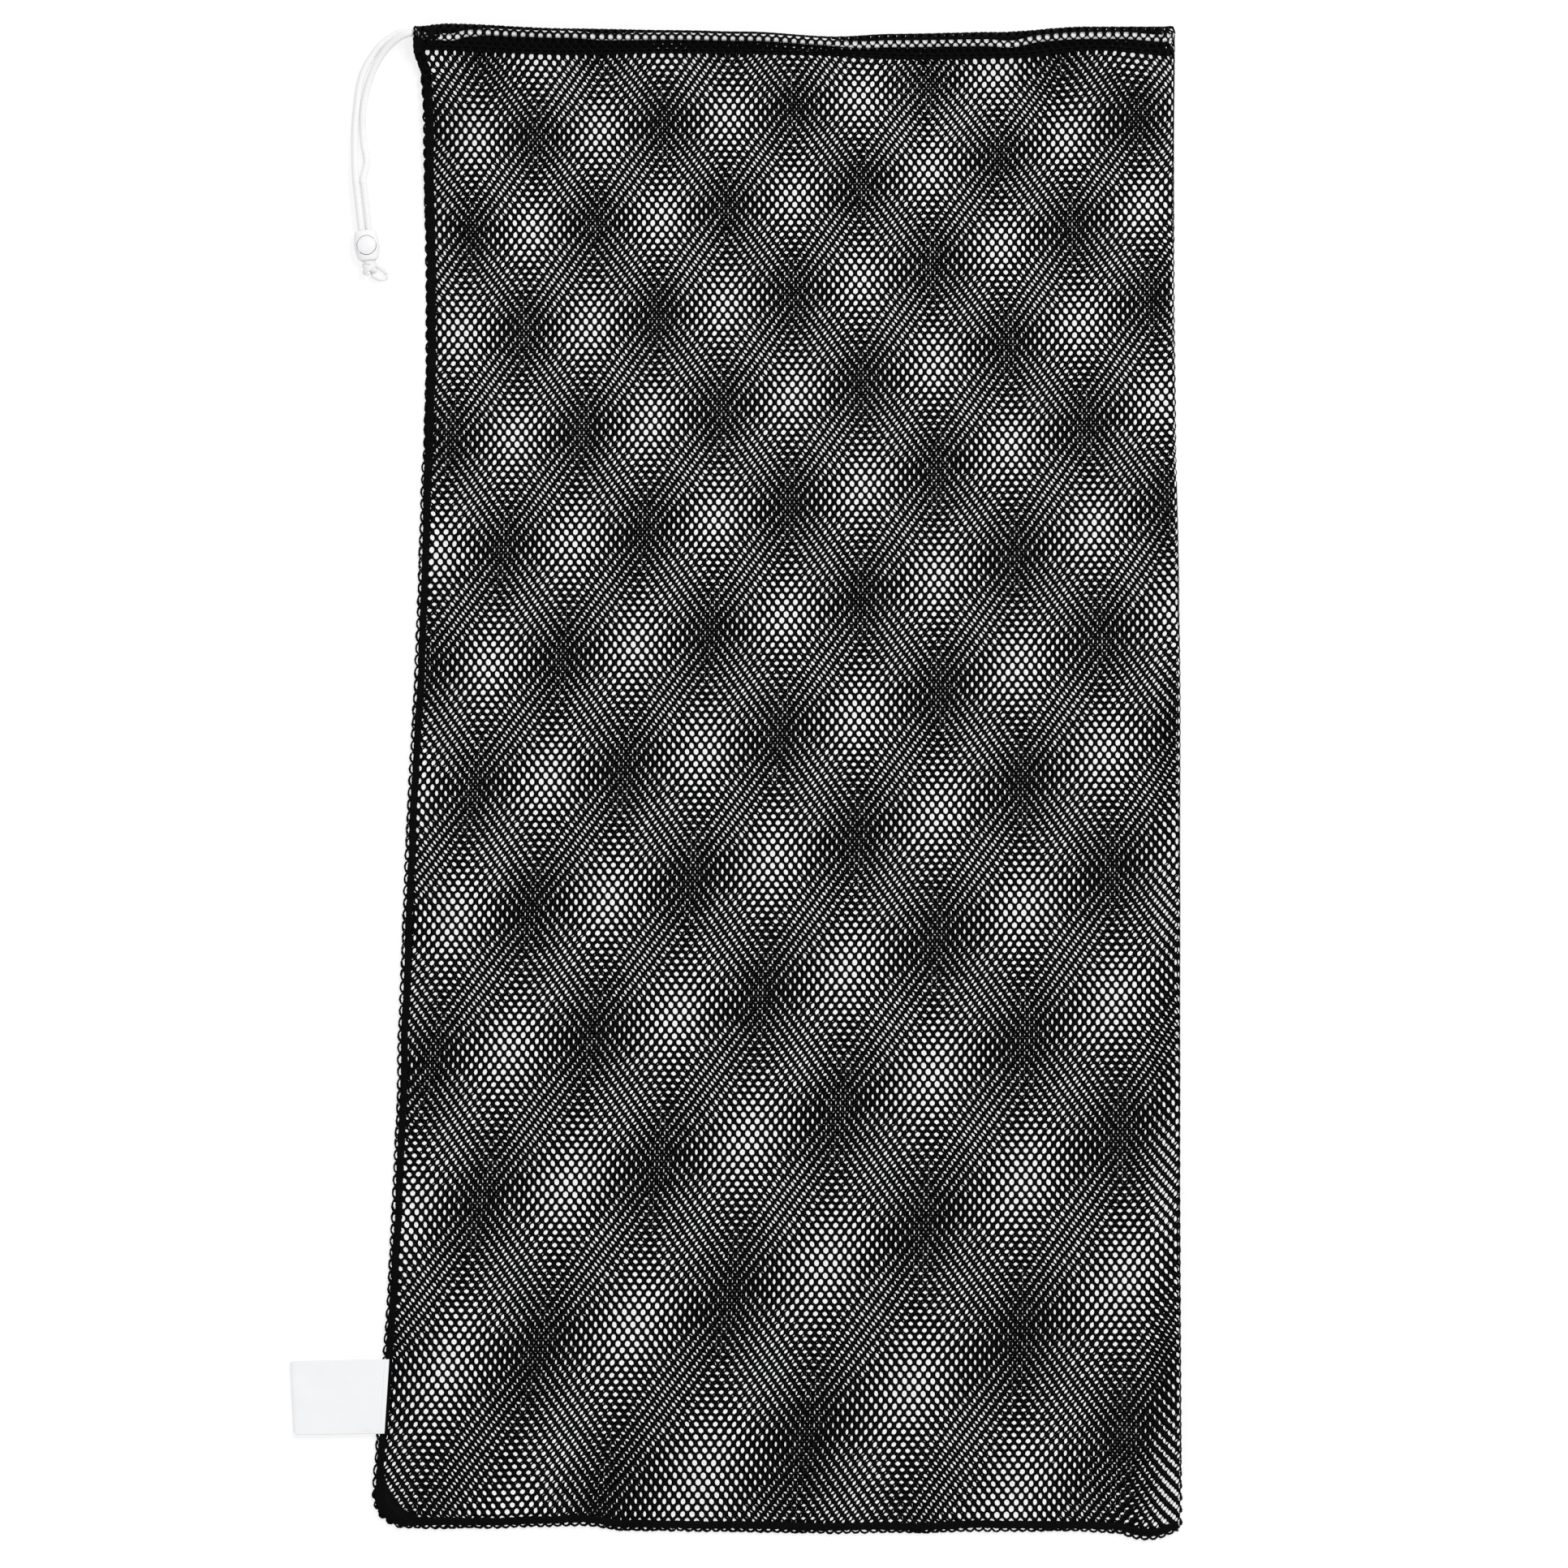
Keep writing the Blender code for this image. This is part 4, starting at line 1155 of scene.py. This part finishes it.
def disc_ring(radius, height):
    """A round loop of points in the lock's own axes."""
    c, s = circle(96)
    return np.stack([radius * c, radius * s, np.full_like(c, height)], 1)


def lock_mesh(name, loops, material, body):
    """A closed piece from loops of (right, along, height) points in the lock's own axes."""
    spots = lock_point(*np.array(loops).reshape(-1, 3).T)
    faces = tube_faces(len(loops), len(loops[0]))
    return add_mesh(name, spots, outward(spots, faces), material, body)


def carve(piece, cutters, bevel):
    """Cuts shapes out of a piece, then rounds its sharp edges."""
    for cutter in cutters:
        step = piece.modifiers.new("cut", "BOOLEAN")
        step.operation = "DIFFERENCE"
        step.solver = "MANIFOLD"
        step.object = cutter
    flats = piece.modifiers.new("flats", "DECIMATE")
    flats.decimate_type = "DISSOLVE"
    flats.angle_limit = 0.01
    edge = piece.modifiers.new("edges", "BEVEL")
    edge.width = bevel
    edge.segments = 3
    edge.angle_limit = math.radians(50)
    carved = piece.evaluated_get(bpy.context.evaluated_depsgraph_get())
    made = bpy.data.meshes.new_from_object(carved)
    piece.modifiers.clear()
    piece.data = made
    made.shade_smooth()
    made.set_sharp_from_angle(angle=math.radians(38))
    for cutter in cutters:
        bpy.data.objects.remove(cutter)


def window(name, bottom, top, body):
    """A cutter along both tails, round at its sides."""
    radius = CORD_RADIUS + GAP
    low, high, edge = bottom + radius, top - radius, TAIL_SPACING / 2
    turn = np.radians(np.linspace(-90, 90, 25))
    height = np.where(turn < 0, low, high) + radius * np.sin(turn)
    half = np.stack([edge + radius * np.cos(turn), height], 1)
    section = np.concatenate([half, half[::-1] * (-1, 1)])
    loops = [[(x, y, z) for x, z in section] for y in (-3 * LOCK_HALF_LENGTH, 3 * LOCK_HALF_LENGTH)]
    return lock_mesh(name, loops, PLASTIC, body)


def add_lock_body():
    """A barrel that narrows to its ends, with a well for the button and a fine parting line round it."""
    c, s = circle(144)
    parting = 1 - 0.014 * np.exp(-(s / 0.03) ** 2)
    loops = []
    for share in np.sin(np.linspace(-math.pi / 2, math.pi / 2, 61)):
        past = max(abs(share) * LOCK_HALF_LENGTH - (LOCK_HALF_LENGTH - ROUNDING), 0) / ROUNDING
        end_width = 6.2 * MM if share > 0 else 5.9 * MM
        width = mix(LOCK_HALF_WIDTH, end_width, share ** 2)
        width -= ROUNDING * (1 - math.sqrt(max(1 - past ** 2, 0)))
        height = width * LOCK_MIDDLE / LOCK_HALF_WIDTH
        x = width * parting * boxy(c, 0.8)
        z = LOCK_MIDDLE + height * parting * boxy(s, 0.8)
        loops.append(np.stack([x, np.full_like(x, share * LOCK_HALF_LENGTH), z], 1))
    body = lock_mesh("lock_body", loops, PLASTIC, "cord_lock")
    rings = [disc_ring(BUTTON_RADIUS + GAP, z) for z in (LOCK_FLOOR, 3 * LOCK_HIGH.z)]
    well = lock_mesh("well", rings, PLASTIC, "cord_lock")
    slot = window("slot", TAIL_Z - CORD_RADIUS - GAP, TAIL_Z + CORD_RADIUS + GAP, "cord_lock")
    carve(body, [well, slot], 0.22 * MM)
    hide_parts("cord_lock_body")
    return body


def add_lock_button():
    """The plunger: the tails pass through its window; its crown is a low dome inside a rolled rim."""
    top, rim = BUTTON_HIGH.z, BUTTON_HIGH.z - 0.9 * MM
    edge = np.radians(np.linspace(0, 90, 9))
    profile = [(BUTTON_RADIUS, z) for z in np.linspace(BUTTON_FOOT, rim - ROLL, 8)]
    profile += [(BUTTON_RADIUS - ROLL * (1 - math.cos(a)), rim - ROLL * (1 - math.sin(a))) for a in edge[1:]]
    for share in np.linspace(0.86, 0.04, 22):
        dome = (1 - share ** 2) * 0.9 * MM
        groove = 0.14 * MM * math.exp(-((share - 0.76) / 0.045) ** 2)
        profile.append((BUTTON_RADIUS * share, rim + dome - groove))
    loops = [disc_ring(r, min(z, top)) for r, z in profile]
    button = lock_mesh("lock_button", loops, PLASTIC, "lock_button")
    hole_top = TAIL_Z + CORD_RADIUS + GAP + BUTTON_STROKE
    hole = window("button_hole", BUTTON_FOOT + 1 * MM, hole_top, "lock_button")
    carve(button, [hole], 0.15 * MM)
    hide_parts("cord_lock_button")
    return button


def add_lock_spring():
    """A wire spring that winds inwards from the floor of the well to the button, and closes almost flat."""
    share = np.linspace(0, 1, 24 * SPRING_TURNS + 1)
    angle, radius = 2 * math.pi * SPRING_TURNS * share, mix(*SPRING_RADII, share)
    climb = mix(SPRING_LOW.z + SPRING_WIRE, SPRING_HIGH.z - SPRING_WIRE, share)
    route = LOCK_CENTRE + np.stack([radius * np.cos(angle), radius * np.sin(angle), climb], 1)

    def wire(around, ring):
        return SPRING_WIRE * np.cos(around), SPRING_WIRE * np.sin(around)

    spring = add_tubes("lock_spring", [tube(route, 10, wire)], STEEL, "cord_lock")
    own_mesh(spring)
    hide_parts("cord_lock_spring")
    return spring


# ---- care label ------------------------------------------

LABEL_SHEET = 0.26 * MM
LABEL_OVERLAP = 1.9 * MM  # past the hinge, over the seam
LABEL_TAPER = 2.1 * MM  # each upright edge leans in this much from top to bottom
LABEL_FALL = 1.4 * MM  # the label's top edge falls this much towards its fold
LABEL_LOOP = [  # (mm out from the sewn end, mm high) along the folded ribbon
    (0.0, 3.42), (2.0, 3.40), (5.0, 3.36), (9.0, 3.22), (14.0, 3.05), (22.0, 2.92), (32.0, 2.96),
    (42.0, 3.08), (50.0, 3.14), (55.0, 3.06), (57.4, 2.72), (58.4, 1.95), (58.2, 1.10), (57.0, 0.55),
    (53.0, 0.36), (42.0, 0.32), (30.0, 0.34), (18.0, 0.42), (12.5, 0.82), (9.0, 1.60), (6.0, 2.40),
    (3.0, 2.92), (0.0, 3.02),
]
LABEL_REACH = 58.4  # mm out from the sewn end to the fold


def label_point(out, up, height):
    """A place on the label: out from its sewn end (0 to 1), up its height (0 to 1)."""
    right = LABEL_HIGH.x + LABEL_OVERLAP - (LABEL_TAPER + 0.8 * MM) * (1 - up)
    left = LABEL_LOW.x + 0.4 * MM + LABEL_TAPER * (1 - up)
    top = LABEL_HIGH.y + 0.2 * MM - LABEL_FALL * out
    low = LABEL_LOW.y + 0.3 * MM - 0.9 * MM * out
    corner = 1.6 * MM * np.clip((out - 0.955) / 0.045, 0, 1) ** 2
    y = mix(low + corner, top - 0.4 * corner, up)
    return np.stack(np.broadcast_arrays(mix(right, left, out), y, height), -1)


def bend_at_seam(piece):
    """Bakes the piece's placement into its mesh; the label is not bent or turned at the seam."""
    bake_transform(piece)


def add_label():
    """A satin ribbon folded once, with both ends in the seam."""
    loop = smooth_route([(d / LABEL_REACH, h, 0) for d, h in LABEL_LOOP], 10)
    width = LABEL_HIGH.x - LABEL_LOW.x
    flat = np.stack([loop[:, 0] * width, loop[:, 1] * MM], 1)
    way = np.gradient(flat, axis=0)
    way /= np.linalg.norm(way, axis=1)[:, None]
    normal = np.stack([-way[:, 1], way[:, 0]], 1) * LABEL_SHEET / 2
    ring = np.concatenate([flat - normal, (flat + normal)[::-1]])
    out, high = np.clip(ring[:, 0] / width, -0.01, 1.02), ring[:, 1]
    up = np.linspace(0, 1, 90)[:, None]
    upper_leaf = smooth((high - 1.6 * MM) / (1 * MM)) * smooth(out / 0.3)
    wave = 0.16 * MM * np.sin(3.1 * up + 5 * out) + 0.10 * MM * np.sin(7 * up - 9 * out + 1)
    lifted = 0.35 * MM * smooth((out - 0.7) / 0.3) * (1 - up)
    rows = label_point(out, up, high + (wave + lifted) * upper_leaf)
    points = rows.reshape(-1, 3)
    quads = outward(points, tube_faces(len(up), len(ring)))
    piece = add_mesh("label_ribbon", points, quads, SATIN, None)
    bend_at_seam(piece)
    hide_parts("care_label")


def add_label_stitches():
    """One white line of lockstitch down the label's sewn end, and a short one back along its lower edge."""
    up = np.arange(0.035, 0.965, 0.006)
    down = label_point(0.045, up, 3.62 * MM - 0.42 * MM * dips(up, 0.062))
    out = np.arange(0.05, 0.24, 0.005)
    height = 3.60 * MM - 1.6 * MM * np.maximum(out - 0.07, 0) - 0.42 * MM * dips(out, 0.05)
    along = label_point(out, 0.045, height)
    lines = [sewing_thread(route, 0.17 * MM, 0.2 * MM, 8) for route in (down, along)]
    piece = add_tubes("label_stitches", lines, LABEL_THREAD, None)
    bend_at_seam(piece)
    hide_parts("label_stitching")


# ---- stage -----------------------------------------------

SURROUND = 0.74  # strength of the white all round, and of the ground's own glow
FLOOR_REACH = 8
KEY_PLACE = (0.95, 1.35, 2.4)
KEY_SIZE = 1.1
KEY_WATTS = 38


def add_floor():
    """White ground that glows a little, so that it stays white under the bag."""
    corners = [(x * FLOOR_REACH, y * FLOOR_REACH, 0) for x, y in ((-1, -1), (1, -1), (1, 1), (-1, 1))]
    mesh = bpy.data.meshes.new("floor")
    mesh.from_pydata(corners, [], [(0, 1, 2, 3)])
    made, tree, shader = new_material("floor_white")
    feed(tree, shader, Base_Color=(0.27, 0.27, 0.27, 1), Roughness=0.9, Specular_IOR_Level=0.0,
         Emission_Color=(1, 1, 1, 1), Emission_Strength=SURROUND)
    mesh.materials.append(made)
    floor = bpy.data.objects.new("floor", mesh)
    floor.location.z = -0.3 * MM
    bpy.context.scene.collection.objects.link(floor)


def add_lights():
    """An even white surround, with one soft key light from above."""
    world = bpy.data.worlds.new("studio")
    world.use_nodes = True
    background = world.node_tree.nodes["Background"]
    feed(world.node_tree, background, Color=(1, 1, 1, 1), Strength=SURROUND)
    bpy.context.scene.world = world
    bpy.context.scene.view_settings.view_transform = "Standard"
    data = bpy.data.lights.new("key", "AREA")
    data.shape = "DISK"
    data.size = KEY_SIZE
    data.energy = KEY_WATTS
    light = bpy.data.objects.new("key", data)
    light.location = KEY_PLACE
    light.rotation_euler = (-light.location).to_track_quat("-Z", "Y").to_euler()
    bpy.context.scene.collection.objects.link(light)


# ---- assembly --------------------------------------------

add_camera()
tails = add_tails()
add_runs()
add_net(1, front_cloth, (-3, COLUMNS), (-6, 2 * ROWS + 20),
        ["front_net_bottom", "front_net_lower", "front_net_upper", "front_net_mouth"],
        ["front_mesh_panel", "side_fold", "front_hem"])
add_net(-1, back_cloth, (-8, COLUMNS + 4), (-26, 2 * ROWS + 40),
        ["back_net_bottom", "back_net_lower", "back_net_upper", "back_net_mouth"],
        ["back_mesh_panel", "back_hem"])
lock_pieces = [add_lock_body(), add_lock_button(), add_lock_spring()]
for side, seed in (("side", 11), ("bottom", 23)):
    add_band(side, seed)
    add_fringe(side, seed + 5)
    add_overlock(side)
add_hem_stitches()
add_hem_ends()
knot_pieces = add_knot() + add_frayed_ends()
add_label()
add_label_stitches()
add_floor()
add_lights()
